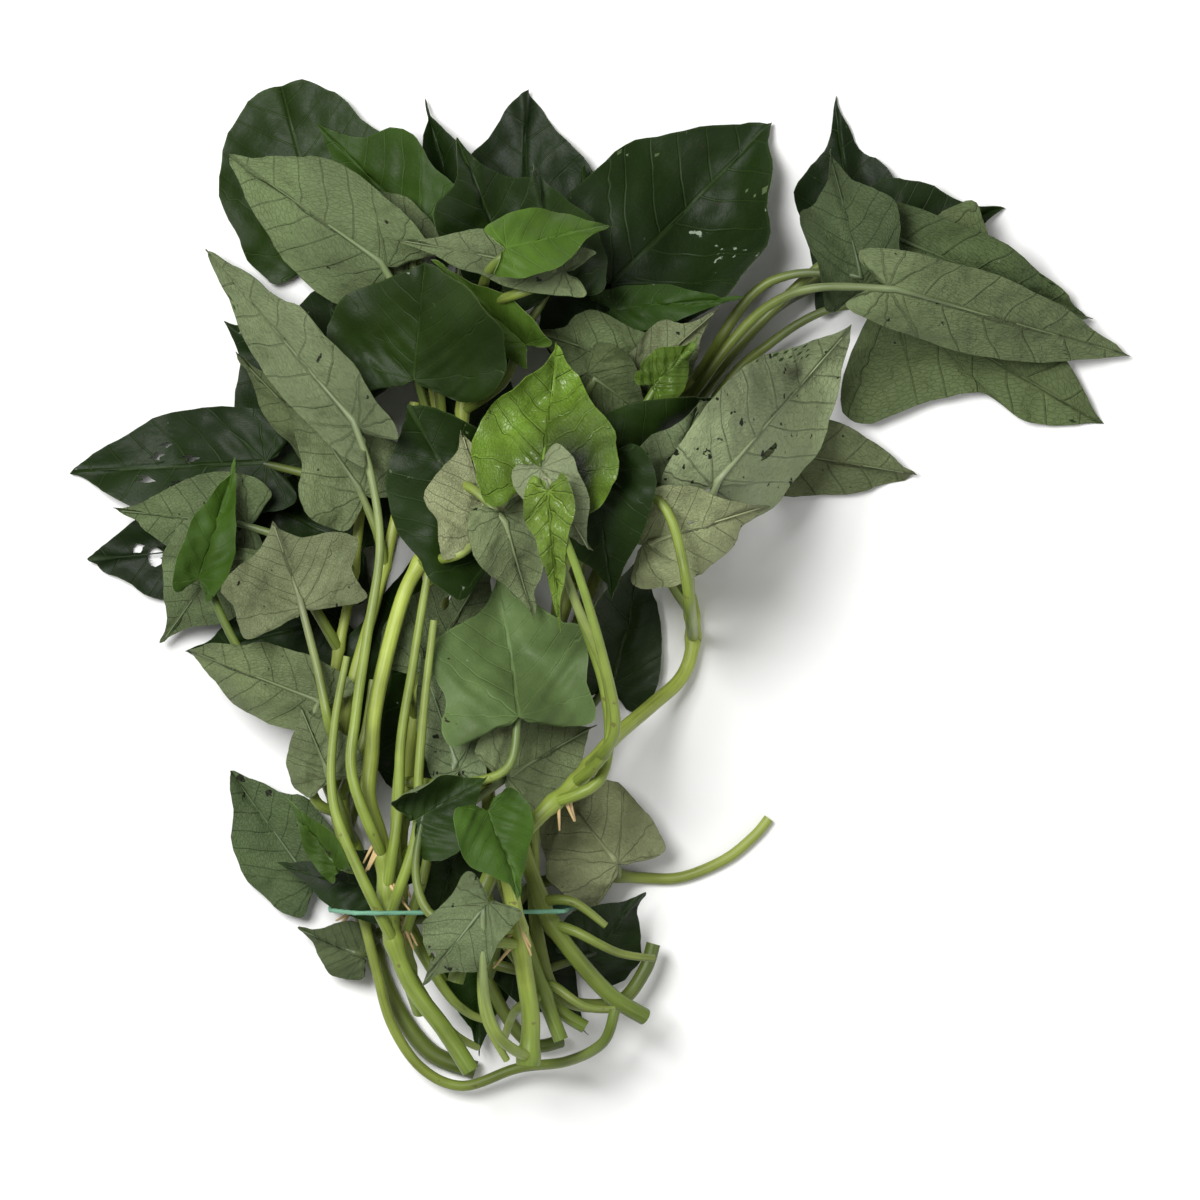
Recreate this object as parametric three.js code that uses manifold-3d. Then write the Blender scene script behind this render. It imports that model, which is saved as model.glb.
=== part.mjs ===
// Sweet potato tops: thirteen leafy shoots laid in a loose bunch, tied once with thin string.
// Millimetres, +Z up, stem ends towards -Y. The shoots are laid one after another, lowest first,
// and every one takes its height from what already lies under it.
import * as THREE from "three";
import { mergeVertices } from "three/addons/utils/BufferGeometryUtils.js";
import Module from "manifold-3d";

const wasm = await Module();
wasm.setup();

// Driving dimensions
const BLADE = 0.8; // leaf thickness
const GAP = 0.8; // air kept over a piece before the next one lies on it
const CELL = 3; // spacing of the height map
const SPAN = 210; // half the side of the height map
const LEAF_REACH = 3; // cells over which a blade bridges bumps
const TUBE_REACH = 1; // the same for stems and stalks
const STALK_ROOT = 4; // stalk diameter at the stem
const STALK_TIP = 2.4; // stalk diameter at the blade
const STALK_FADE = 16; // length over which a stalk climbs out of its stem
const STALK_RUN = 28; // longest straight piece of a stalk
const STALK_SEAT = 3; // how far the stalk runs on under the blade
const STALK_SINK = 0.3; // share of the stalk's end that stands out of the blade
const LONG_LEAF = 70; // blades over this length have three rings of facets
const MID_LEAF = 42; // blades over this length have two, shorter ones one
const STEM_SIDES = 6;
const STALK_SIDES = 4;
const STRING_SIDES = 6;
const EDGE_STEPS = 5; // facets along each half of a blade's edge
const RIPPLES = [13, 23]; // waves along the edge, coarse and fine
const FINE_RIPPLE = 0.6; // height of the fine waves over the coarse ones
const STRING = 1.6; // string diameter
const STRING_AIR = 0.5; // air between the string and the stems
const STRING_REST = 3; // height where the string turns up at each side
const TIE_Y = -107;
const TIE_LEFT = -91;
const TIE_RIGHT = -9;

// Half outlines from the tip round to the stalk notch: length and half width, both as shares
const FORMS = {
  heart: [[1, 0], [0.8, 0.2], [0.45, 0.84], [0.1, 1], [-0.15, 0.72], [-0.05, 0.1]],
  spear: [[1, 0], [0.7, 0.24], [0.36, 0.56], [0.12, 1], [-0.12, 0.62], [-0.05, 0.09]],
  hastate: [[1, 0], [0.74, 0.3], [0.48, 0.34], [0.15, 1], [0, 0.84], [-0.05, 0.09]],
  wide: [[1, 0], [0.87, 0.3], [0.52, 0.95], [0.12, 1], [-0.14, 0.7], [-0.05, 0.1]],
  round: [[1, 0], [0.96, 0.5], [0.62, 0.96], [0.14, 0.96], [-0.12, 0.7], [-0.05, 0.1]],
  angled: [[1, 0], [0.76, 0.26], [0.54, 0.94], [0.2, 0.84], [-0.12, 0.86], [-0.05, 0.1]],
  cordate: [[1, 0], [0.8, 0.24], [0.4, 0.92], [0.02, 1], [-0.28, 0.62], [-0.05, 0.1]],
};

// Angles in degrees. node is the share of the stem where the stalk leaves, via bends the stalk.
// wide is flat width over length, fold closes the halves, curl rolls the left and right margins,
// bend arches the length, roll leans the blade about its midrib, wave is the height of the edge ripple.
// spurs are bare cut stalks, from their place on the stem outwards.
const LEAF = {
  form: "heart", face: "top", wide: 0.8, fold: 3, curl: [5, 5], bend: -4, roll: 0,
  wave: 0.9, node: 0.9, via: null,
};

const SHOOTS = [
  {
    name: "left_low_shoot", green: 0x5d7a35, dia: [6.4, 4.2],
    stem: [[-42, -162], [-57, -156], [-69, -140], [-78, -117], [-83, -97], [-87, -75], [-85, -50],
      [-81, -30], [-76, -3], [-68, 30], [-60, 63]],
    leaves: [
      { base: [-40, -113], tip: [-41, -157], wide: 0.66, face: "fresh", node: 0.3 },
      { base: [-97, -99], tip: [-125, -61], wide: 0.66, form: "wide", face: "under", node: 0.44 },
      { base: [-80, -123], tip: [-102, -114], wide: 0.8, face: "under", node: 0.28 },
      { base: [-116, 16], tip: [-173, 10], wide: 0.62, form: "wide", node: 0.6 },
      { base: [-88, -10], tip: [-140, -21], wide: 0.62, node: 0.54 },
      { base: [-80, 14], tip: [-128, 36], wide: 0.85, node: 0.68 },
      { base: [-77, -56], tip: [-60, 16], wide: 0.64, node: 0.46 },
    ],
  },
  {
    name: "crown_back_shoot", green: 0x3c5a2c, dia: [4.6, 3.8],
    stem: [[-13, -152], [-23, -153], [-33, -141], [-40, -123], [-45, -103],
      [-50, -77], [-53, -50], [-53, -17], [-53, 17], [-57, 53], [-63, 84]],
    leaves: [
      { base: [-93, 115], tip: [-108, 170], wide: 0.98, form: "round", node: 0.98 },
      { base: [-26, 108], tip: [-25, 169], wide: 0.78, form: "wide", node: 0.88 },
      { base: [-46, 118], tip: [-59, 166], wide: 0.6, fold: 40, node: 0.93 },
      { base: [-84, 60], tip: [-127, 91], wide: 1.25, form: "angled", node: 0.76 },
      { base: [-50, 34], tip: [-30, 82], wide: 0.8, node: 0.8 },
      { base: [-32, -112], tip: [-4, -150], wide: 0.64, node: 0.42 },
    ],
  },
  {
    name: "side_vine", green: 0x6f8f3a, dia: [4.4, 3.4],
    stem: [[-38, -130], [-33, -114], [-22, -99], [0, -96], [13, -97], [27, -97], [42, -91],
      [52, -83], [57, -77]],
    leaves: [
      { base: [6, -92], tip: [-22, -58], wide: 0.95, face: "under", node: 0.42, curl: [10, 40] },
      { base: [-4, -124], tip: [15, -101], wide: 0.95, node: 0.04 },
    ],
  },
  {
    name: "right_shoot", green: 0x4d6a34, dia: [4.8, 4],
    stem: [[18, -119], [15, -128], [7, -138], [-7, -139], [-16, -133], [-20, -120], [-22, -104],
      [-22, -73], [-17, -43], [-7, -10], [7, 23], [22, 53], [35, 75]],
    leaves: [
      { base: [88, 103], tip: [79, 167], wide: 0.56, form: "angled", node: 0.86, via: [[56, 92]] },
      { base: [92, 115], tip: [137, 129], wide: 0.86, node: 0.89, via: [[58, 94]] },
      { base: [98, 98], tip: [170, 56], wide: 0.96, form: "hastate", face: "under", node: 0.8,
        via: [[40, 66], [56, 82], [76, 94]] },
      { base: [92, 121], tip: [166, 91], wide: 0.32, form: "wide", face: "under", fold: 14, node: 0.95,
        via: [[62, 98], [78, 112]] },
      { base: [88, 102], tip: [77, 148], wide: 0.8, form: "angled", face: "under", fold: 14,
        curl: [40, 14], node: 0.98, via: [[50, 98], [66, 106]] },
      { base: [96, 101], tip: [179, 79], wide: 0.32, form: "wide", face: "under", fold: 10, node: 0.92,
        via: [[44, 83], [58, 96], [74, 101]] },
    ],
  },
  {
    name: "crown_right_shoot", green: 0x40602e, dia: [5.8, 4.2],
    spurs: [[0.26, [-8, -114], [6, -121], [18, -123]], [0.32, [-9, -104], [2, -112]]],
    stem: [[15, -143], [4, -136], [-7, -124], [-17, -110], [-22, -97], [-27, -80], [-27, -57],
      [-20, -30], [-10, 0], [0, 30], [7, 57], [10, 80]],
    leaves: [
      { base: [0, 86], tip: [-6, 143], wide: 0.72, node: 0.92 },
      { base: [4, 103], tip: [58, 158], wide: 0.78, form: "wide", node: 1 },
      { base: [4, 94], tip: [48, 97], wide: 0.34, face: "under", roll: -8, node: 0.9 },
      { base: [16, 74], tip: [-26, 88], wide: 0.6, form: "angled", face: "under", fold: 8, node: 0.86 },
      { base: [8, 66], tip: [40, 94], wide: 0.5, form: "angled", face: "under", fold: 8, node: 0.8 },
      { base: [-4, 72], tip: [18, 56], wide: 0.95, face: "under", node: 0.78 },
      { base: [18, 68], tip: [33, 84], wide: 0.75, face: "young", fold: 10, node: 0.74 },
      { base: [2, 34], tip: [44, 66], wide: 0.8, node: 0.68 },
      { base: [4, -32], tip: [15, 15], wide: 0.62, node: 0.54 },
    ],
  },
  {
    name: "crown_left_shoot", green: 0x5c7a42, dia: [4.6, 3.6],
    spurs: [[0.14, [-16, -132], [-5, -139], [5, -140]]],
    stem: [[-5, -146], [-14, -140], [-24, -128], [-34, -113], [-41, -93], [-47, -70], [-50, -37],
      [-48, -3], [-50, 30], [-55, 63], [-60, 92], [-63, 108]],
    leaves: [
      { base: [-46, -82], tip: [-57, -117], wide: 0.8, node: 0.44 },
      { base: [-60, 122], tip: [-96, 158], wide: 0.8, form: "angled", face: "fresh", node: 1 },
      { base: [-64, 114], tip: [-91, 136], wide: 0.75, face: "under", node: 0.9 },
      { base: [-71, 108], tip: [-125, 147], wide: 0.58, form: "wide", face: "under", roll: -14, node: 0.78 },
    ],
  },
  {
    name: "left_shoot", green: 0x506d36, dia: [3.6, 3.4],
    stem: [[5, -140], [1, -151], [-11, -158], [-28, -161], [-46, -167], [-60, -161], [-70, -146],
      [-75, -128], [-79, -112], [-84, -93], [-90, -70], [-92, -50], [-88, -23], [-83, 3], [-80, 30]],
    leaves: [
      { base: [-112, 43], tip: [-179, 40], wide: 0.56, form: "wide", node: 1 },
      { base: [-118, 22], tip: [-164, 27], wide: 0.72, face: "under", node: 0.94 },
      { base: [-124, 14], tip: [-148, -18], wide: 0.9, face: "under", node: 0.87 },
      { base: [-134, 4], tip: [-121, 44], wide: 0.5, face: "fresh", fold: 30, node: 0.81 },
    ],
  },
  {
    name: "left_mid_shoot", green: 0x7a9448, dia: [4.8, 3.6],
    spurs: [[0.3, [-91, -66], [-96, -52], [-99, -40]], [0.4, [-79, -50], [-76, -30]],
      [0.12, [-52, -134], [-44, -142], [-36, -145]]],
    stem: [[-53, -132], [-62, -117], [-72, -103], [-82, -87], [-87, -70], [-86, -48], [-82, -28],
      [-76, -7], [-70, 17], [-65, 40], [-62, 63]],
    leaves: [
      { base: [-92, 48], tip: [-123, 80], wide: 0.4, face: "under", node: 0.86 },
      { base: [-79, 32], tip: [-110, 77], wide: 0.76, form: "spear", face: "under", fold: 16, node: 0.76 },
      { base: [-91, -38], tip: [-138, -20], wide: 0.5, form: "wide", face: "under", node: 0.37,
        via: [[-95, -70], [-98, -52]] },
      { base: [-90, -62], tip: [-100, -38], wide: 0.95, face: "under", node: 0.31 },
      { base: [-99, -6], tip: [-109, 23], wide: 1.6, form: "angled", face: "under", bend: -30, node: 0.46,
        via: [[-90, -45], [-94, -26]] },
      { base: [-68, -101], tip: [-109, -92], wide: 0.6, curl: [30, 10], node: 0.2 },
      { base: [-88, -92], tip: [-104, -69], wide: 0.45, face: "fresh", fold: 26, node: 0.26 },
    ],
  },
  {
    name: "crown_front_shoot", green: 0x3f5c33, dia: [5, 3.8],
    spurs: [[0.1, [-28, -140], [-32, -150]], [0.35, [-45, -76], [-49, -52]]],
    stem: [[-13, -150], [-18, -137], [-25, -117], [-32, -97], [-37, -70], [-40, -43], [-42, -17],
      [-43, 10], [-45, 37], [-46, 63], [-43, 85], [-40, 98]],
    leaves: [
      { base: [-30, 106], tip: [-48, 152], wide: 0.74, form: "angled", node: 0.93 },
      { base: [-14, 102], tip: [-22, 143], wide: 0.85, node: 0.87 },
      { base: [-25, 82], tip: [-56, 110], wide: 0.46, face: "under", fold: 34, node: 0.81 },
      { base: [-12, 106], tip: [-70, 117], wide: 0.36, face: "under", fold: 12, roll: 16, node: 0.97 },
      { base: [-31, 113], tip: [5, 122], wide: 0.6, face: "fresh", bend: -20, node: 1 },
      { base: [-62, 70], tip: [-58, 109], wide: 1.5, form: "wide", bend: -24, node: 0.74 },
    ],
  },
  {
    name: "centre_low_shoot", green: 0x55724a, dia: [5.4, 4.2],
    spurs: [[0.3, [-68, -76], [-66, -50], [-62, -22]], [0.2, [-58, -92], [-57, -70]],
      [0.12, [-57, -138], [-49, -148], [-41, -153]]],
    stem: [[-60, -141], [-64, -128], [-66, -112], [-67, -95], [-66, -75], [-64, -57], [-61, -33],
      [-58, -10], [-56, 17], [-53, 43]],
    leaves: [
      { base: [-58, -26], tip: [-35, 13], wide: 0.82, face: "under", node: 0.62 },
      { base: [-47, -60], tip: [-61, -18], wide: 0.46, face: "under", fold: 18, node: 0.44 },
      { base: [-31, -62], tip: [-1, -45], wide: 0.95, face: "under", node: 0.36 },
      { base: [-27, -42], tip: [-34, 6], wide: 1.16, form: "angled", face: "dusty", node: 0.52,
        via: [[-44, -64], [-30, -58]] },
    ],
  },
  {
    name: "front_left_shoot", green: 0x7f9a44, dia: [6, 4.6],
    spurs: [[0.3, [-67, -74], [-66, -50], [-62, -25], [-58, 0], [-54, 20]],
      [0.26, [-61, -82], [-60, -60], [-58, -36], [-55, -10]],
      [0.22, [-84, -84], [-89, -66], [-88, -44], [-84, -22]]],
    stem: [[-43, -160], [-52, -146], [-63, -131], [-69, -115], [-71, -98], [-73, -83], [-77, -69],
      [-76, -55], [-75, -41], [-71, -22], [-65, -1], [-58, 13], [-53, 30], [-50, 47]],
    leaves: [
      { base: [-36, 12], tip: [-64, 62], wide: 0.8, form: "wide", node: 0.9 },
      { base: [-36, 19], tip: [-46, 53], wide: 1.1, form: "angled", face: "under", node: 0.83 },
      { base: [-32, 25], tip: [-22, -10], wide: 0.7, face: "under", node: 0.95 },
      { base: [-80, 54], tip: [-133, 115], wide: 0.3, form: "wide", face: "under", fold: 8,
        curl: [10, 24], node: 0.36, via: [[-82, -62], [-81, -42], [-77, -14], [-73, 14], [-76, 38]] },
    ],
  },
  {
    name: "centre_right_shoot", green: 0x86a546, dia: [5.6, 4.4],
    stem: [[-48, -130], [-43, -113], [-35, -92], [-20, -75], [-8, -64], [4, -50], [17, -39],
      [27, -30], [31, -20], [31, -8], [28, 3]],
    leaves: [
      { base: [18, 30], tip: [34, 63], wide: 0.75, face: "under", fold: 16, node: 0.9 },
      { base: [40, 50], tip: [107, 39], wide: 0.42, form: "wide", face: "under", roll: 6, node: 0.97 },
      { base: [37, 34], tip: [84, 88], wide: 0.54, form: "wide", face: "under", fold: 8,
        curl: [16, 12], node: 0.94 },
      { base: [14, 15], tip: [56, 28], wide: 0.76, face: "under", fold: 8,
        curl: [12, 16], node: 1, via: [[22, 12]] },
      { base: [-1, 40], tip: [4, -4], wide: 0.82, node: 0.84, via: [[22, 26]] },
      { base: [-19, 38], tip: [-14, 82], wide: 1.08, form: "cordate", face: "young", fold: 6,
        curl: [18, 12], node: 0.34, via: [[-1, -64], [3, -50], [1, -31], [-6, -10], [-14, 14]] },
      { base: [-19, 40], tip: [-3, 12], wide: 0.66, face: "under", node: 0.4,
        via: [[3, -51], [2, -28], [-8, -4], [-16, 20]] },
      { base: [-17, 32], tip: [-13, -14], wide: 0.42, form: "spear", face: "young", fold: 26, node: 0.44,
        via: [[5, -46], [1, -22], [-8, 8]] },
    ],
  },
  {
    name: "front_low_shoot", green: 0x5f8a3a, dia: [6.6, 5],
    spurs: [[0.56, [-35, -114], [-39, -126], [-38, -142], [-31, -156]]],
    stem: [[-24, -158], [-23, -143], [-25, -127], [-28, -108], [-31, -93], [-36, -80]],
    leaves: [
      { base: [-61, -76], tip: [-37, -62], wide: 1.2, curl: [100, 10], node: 0.5,
        via: [[-44, -114], [-57, -106], [-61, -92]] },
      { base: [-37, -103], tip: [-59, -131], wide: 0.74, form: "angled", face: "under", node: 0.04,
        via: [[-33, -148], [-38, -133]] },
      { base: [-37, -73], tip: [-26, -102], wide: 0.86, face: "fresh", fold: 12, node: 0.96 },
    ],
  },
];

const rad = THREE.MathUtils.degToRad;
const point2 = ([x, y]) => new THREE.Vector2(x, y);

// Height map of the pile, square, row by row
const SIDE = 2 * Math.round(SPAN / CELL) + 1;
const pile = new Float64Array(SIDE * SIDE);
const cellOf = (v) => Math.round((v + SPAN) / CELL);

function raise(x, y, top) {
  const at = cellOf(y) * SIDE + cellOf(x);
  pile[at] = Math.max(pile[at], top);
}

// Runs a window of 2 * reach + 1 cells over the map along one axis
function sweep(map, reach, step, combine) {
  const out = new Float64Array(map.length);
  for (let row = 0; row < SIDE; row++) {
    for (let col = 0; col < SIDE; col++) {
      const along = step === 1 ? col : row;
      const at = row * SIDE + col;
      const values = [];
      for (let k = -reach; k <= reach; k++) {
        const shift = THREE.MathUtils.clamp(along + k, 0, SIDE - 1) - along;
        values.push(map[at + shift * step]);
      }
      out[at] = combine(values);
    }
  }
  return out;
}

// The bed a piece lies on: the pile widened by the reach, then smoothed by it, never under the pile
function bedOver(reach) {
  const highest = (v) => Math.max(...v);
  const mean = (v) => v.reduce((sum, h) => sum + h, 0) / v.length;
  let map = sweep(sweep(pile, reach, 1, highest), reach, SIDE, highest);
  map = sweep(sweep(map, reach, 1, mean), reach, SIDE, mean);
  return (x, y) => {
    const u = (x + SPAN) / CELL;
    const v = (y + SPAN) / CELL;
    const col = Math.floor(u);
    const row = Math.floor(v);
    const at = row * SIDE + col;
    const near = THREE.MathUtils.lerp(map[at], map[at + 1], u - col);
    const far = THREE.MathUtils.lerp(map[at + SIDE], map[at + SIDE + 1], u - col);
    return THREE.MathUtils.lerp(near, far, v - row);
  };
}

// Widens and smooths heights along a path, so that a stiff stem bridges what it crosses
function stiffen(heights, reach) {
  const window = (list, i) => list.slice(Math.max(0, i - reach), i + reach + 1);
  const wide = heights.map((_, i) => Math.max(...window(heights, i)));
  return wide.map((_, i) => window(wide, i).reduce((sum, h) => sum + h, 0) / window(wide, i).length);
}

// Points of a closed solid to a manifold, turned outwards
function solid(points, faces) {
  let geometry = new THREE.BufferGeometry();
  geometry.setAttribute("position", new THREE.Float32BufferAttribute(points.flat(), 3));
  geometry.setIndex(faces.flat());
  geometry = mergeVertices(geometry, 1e-4);
  const mesh = new wasm.Mesh({
    numProp: 3,
    vertProperties: new Float32Array(geometry.attributes.position.array),
    triVerts: new Uint32Array(geometry.index.array),
  });
  return new wasm.Manifold(mesh);
}

// A round stem along a path, flat side down, with flat ends
function tube(path, radii, sides) {
  const points = [];
  const faces = [];
  path.forEach((p, i) => {
    const ahead = path[Math.min(i + 1, path.length - 1)];
    const behind = path[Math.max(i - 1, 0)];
    const along = ahead.clone().sub(behind).normalize();
    const side = new THREE.Vector3(along.y, -along.x, 0).normalize();
    const up = side.clone().cross(along);
    for (let k = 0; k < sides; k++) {
      const turn = ((k + 0.5) / sides) * 2 * Math.PI - Math.PI / 2;
      const q = p.clone().addScaledVector(side, radii[i] * Math.cos(turn));
      points.push(q.addScaledVector(up, radii[i] * Math.sin(turn)).toArray());
    }
  });
  const last = (path.length - 1) * sides;
  for (let i = 0; i < path.length - 1; i++) {
    for (let k = 0; k < sides; k++) {
      const a = i * sides + k;
      const b = i * sides + ((k + 1) % sides);
      faces.push([a, a + sides, b + sides], [a, b + sides, b]);
    }
  }
  for (let k = 1; k < sides - 1; k++) {
    faces.push([0, k, k + 1], [last, last + k + 1, last + k]);
  }
  return solid(points, faces);
}

// Where a flat point of the blade goes: length a, width b, share of the way to the edge, edge place
function shapeBlade(leaf, a, b, share, edge) {
  const half = (leaf.wide * leaf.length) / 2;
  const turn = rad(leaf.curl[b > 0 ? 0 : 1]) * (Math.abs(b) / half);
  const arc = turn === 0 ? 1 : Math.sin(turn) / turn;
  const rise = turn === 0 ? 0 : (1 - Math.cos(turn)) / turn;
  const fold = rad(leaf.fold);
  const out = Math.abs(b) * (arc * Math.cos(fold) - rise * Math.sin(fold)) * Math.sign(b);
  const over = Math.abs(b) * (arc * Math.sin(fold) + rise * Math.cos(fold));
  const roll = rad(leaf.roll);
  const across = out * Math.cos(roll) - over * Math.sin(roll);
  let height = out * Math.sin(roll) + over * Math.cos(roll);
  const bend = rad(leaf.bend) * (a / leaf.length);
  const along = bend === 0 ? a : (a * Math.sin(bend)) / bend;
  height += bend === 0 ? 0 : (a * (1 - Math.cos(bend))) / bend;
  const coarse = Math.sin(edge * RIPPLES[0] + leaf.seed);
  const fine = FINE_RIPPLE * Math.sin(edge * RIPPLES[1] + 2 * leaf.seed);
  height += leaf.wave * share * share * (coarse + fine);
  const x = leaf.base[0] + along * leaf.axis[0] - across * leaf.axis[1];
  const y = leaf.base[1] + along * leaf.axis[1] + across * leaf.axis[0];
  return new THREE.Vector3(x, y, height);
}

// Grid of the blade: rings from the stalk out to the edge, once round from notch to notch
function bladeGrid(leaf, rings, steps) {
  const outline = new THREE.SplineCurve(FORMS[leaf.form].map(point2));
  const half = (leaf.wide * leaf.length) / 2;
  const grid = [];
  for (let r = 0; r <= rings; r++) {
    const row = [];
    for (let s = -steps; s <= steps; s++) {
      const edge = outline.getPoint(Math.abs(s) / steps);
      const share = r / rings;
      const b = share * edge.y * half * Math.sign(s || 1);
      row.push(shapeBlade(leaf, share * edge.x * leaf.length, s === 0 ? 0 : b, share, s / steps));
    }
    grid.push(row);
  }
  return grid;
}

// A blade with both faces the same triangulation, offset along the surface normal
function bladeSolid(grid) {
  const rows = grid.length;
  const cols = grid[0].length;
  const centre = grid[0][0];
  const flat = [centre, ...grid.slice(1).flat()];
  const id = (r, c) => (r === 0 ? 0 : 1 + (r - 1) * cols + c);
  const faces = [];
  for (let r = 0; r < rows - 1; r++) {
    for (let c = 0; c < cols - 1; c++) {
      faces.push([id(r, c), id(r + 1, c + 1), id(r + 1, c)]);
      if (r > 0) faces.push([id(r, c), id(r, c + 1), id(r + 1, c + 1)]);
    }
  }
  const normals = flat.map(() => new THREE.Vector3());
  for (const [i, j, k] of faces) {
    const u = flat[j].clone().sub(flat[i]);
    const n = u.cross(flat[k].clone().sub(flat[i]));
    [i, j, k].forEach((v) => normals[v].add(n));
  }
  normals.forEach((n) => n.normalize());
  const points = [];
  flat.forEach((p, i) => points.push(p.clone().addScaledVector(normals[i], BLADE / 2).toArray()));
  flat.forEach((p, i) => points.push(p.clone().addScaledVector(normals[i], -BLADE / 2).toArray()));
  const rim = [0];
  for (let r = 1; r < rows; r++) rim.push(id(r, 0));
  for (let c = 1; c < cols; c++) rim.push(id(rows - 1, c));
  for (let r = rows - 2; r > 0; r--) rim.push(id(r, cols - 1));
  const under = flat.length;
  const all = [];
  for (const [i, j, k] of faces) {
    all.push([i, j, k], [under + i, under + k, under + j]);
  }
  rim.forEach((i, n) => {
    const j = rim[(n + 1) % rim.length];
    all.push([i, j, under + j], [i, under + j, under + i]);
  });
  return solid(points, all);
}

function layStem(shoot) {
  const curve = new THREE.SplineCurve(shoot.stem.map(point2));
  const steps = shoot.stem.length - 1;
  const fine = 8;
  const bed = bedOver(TUBE_REACH);
  const flats = curve.getPoints(steps * fine);
  const radius = (share) => THREE.MathUtils.lerp(shoot.dia[0], shoot.dia[1], share) / 2;
  const low = stiffen(flats.map((p) => bed(p.x, p.y)), 8);
  const path = flats.map((p, i) => {
    const r = radius(i / (flats.length - 1));
    return new THREE.Vector3(p.x, p.y, low[i] + r * Math.cos(Math.PI / STEM_SIDES));
  });
  path.forEach((p, i) => raiseTube(p, radius(i / (flats.length - 1))));
  const coarse = path.filter((_, i) => i % fine === 0);
  const radii = coarse.map((_, i) => radius(i / (coarse.length - 1)));
  return { path, body: tube(coarse, radii, STEM_SIDES) };
}

function raiseTube(p, r) {
  for (const dx of [-r, 0, r]) {
    for (const dy of [-r, 0, r]) raise(p.x + dx, p.y + dy, p.z + r + GAP);
  }
}

function layLeaf(stemPath, row, index) {
  const leaf = { ...LEAF, ...row };
  const run = point2(leaf.tip).sub(point2(leaf.base));
  leaf.length = run.length();
  leaf.axis = [run.x / leaf.length, run.y / leaf.length];
  leaf.seed = index * 2.1 + leaf.length;
  const stretch = rad(leaf.bend) === 0 ? 1 : rad(leaf.bend) / Math.sin(rad(leaf.bend));
  leaf.length *= stretch;
  leaf.wide /= stretch;

  // the blade on its bed
  const bed = bedOver(LEAF_REACH);
  const sure = bladeGrid(leaf, 12, 36);
  const lowest = Math.min(...sure.flat().map((p) => p.z));
  const settle = (p) => new THREE.Vector3(p.x, p.y, p.z - lowest + BLADE / 2 + bed(p.x, p.y));
  const rings = 1 + (leaf.length > MID_LEAF) + (leaf.length > LONG_LEAF);
  const mesh = bladeGrid(leaf, rings, EDGE_STEPS).map((line) => line.map(settle));
  const blade = bladeSolid(mesh);
  const notch = mesh[0][EDGE_STEPS];
  const inner = mesh[1][EDGE_STEPS];
  const seat = notch.clone().lerp(inner, STALK_SEAT / inner.distanceTo(notch));

  // the stalk from the stem joint to the notch
  const from = stemPath[Math.round(leaf.node * (stemPath.length - 1))];
  const end = new THREE.Vector2(seat.x, seat.y);
  const start = new THREE.Vector2(from.x, from.y);
  const gap = end.distanceTo(start);
  const before = new THREE.Vector2(...leaf.axis).multiplyScalar(-0.3 * gap).add(end);
  const bends = leaf.via ? leaf.via.map(point2) : [before.clone().lerp(start, 0.45)];
  const side = leaf.face === "under" ? STALK_SINK : -STALK_SINK;
  const { path, radii } = layStalk([start, ...bends, end], from.z, seat.z + side * STALK_TIP);
  sure.flat().map(settle).forEach((p) => raise(p.x, p.y, p.z + BLADE / 2 + GAP));
  return [tube(path, radii, STALK_SIDES), blade];
}

// Lays a stalk over the pile, out of its stem at one height and into its blade at another
function layStalk(bends, rootZ, bladeZ) {
  const curve = new THREE.SplineCurve(bends);
  const steps = Math.max(3, Math.ceil(curve.getLength() / STALK_RUN));
  const fine = 6;
  const flats = curve.getPoints(steps * fine);
  const bed = bedOver(TUBE_REACH);
  const shares = flats.map((_, i) => i / (flats.length - 1));
  const radius = (share) => THREE.MathUtils.lerp(STALK_ROOT, STALK_TIP, share) / 2;
  const low = stiffen(flats.map((p) => bed(p.x, p.y)), 6).map((h, i) => h + radius(shares[i]));
  const drop = rootZ - low[0];
  const climb = bladeZ === null ? 0 : bladeZ - low[low.length - 1];
  const rooted = Math.min(STALK_FADE, 0.7 * curve.getLength());
  let travelled = 0;
  const line = flats.map((p, i) => {
    travelled += i === 0 ? 0 : p.distanceTo(flats[i - 1]);
    const fade = Math.max(0, 1 - travelled / rooted);
    return new THREE.Vector3(p.x, p.y, low[i] + drop * fade * fade + climb * shares[i] * shares[i]);
  });
  line.forEach((p, i) => raiseTube(p, radius(shares[i])));
  const path = line.filter((_, i) => i % fine === 0);
  return { path, radii: path.map((_, i) => radius(i / (path.length - 1))) };
}

// A bare stalk left where a leaf was cut off
function laySpur(stemPath, [node, ...bends]) {
  const from = stemPath[Math.round(node * (stemPath.length - 1))];
  const start = new THREE.Vector2(from.x, from.y);
  const { path, radii } = layStalk([start, ...bends.map(point2)], from.z, null);
  return tube(path, radii, STALK_SIDES);
}

// The largest closed body of a union, without scraps or sealed hollows
function wholeBody(bodies) {
  const parts = wasm.Manifold.union(bodies).decompose();
  parts.sort((a, b) => b.volume() - a.volume());
  return parts[0];
}

function toMesh(name, body, colour, roughness) {
  const data = body.getMesh();
  const geometry = new THREE.BufferGeometry();
  geometry.setAttribute("position", new THREE.Float32BufferAttribute(data.vertProperties, 3));
  geometry.setIndex([...data.triVerts]);
  const material = new THREE.MeshStandardMaterial({ color: colour, roughness, metalness: 0 });
  const mesh = new THREE.Mesh(geometry, material);
  mesh.name = name;
  return mesh;
}

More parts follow.
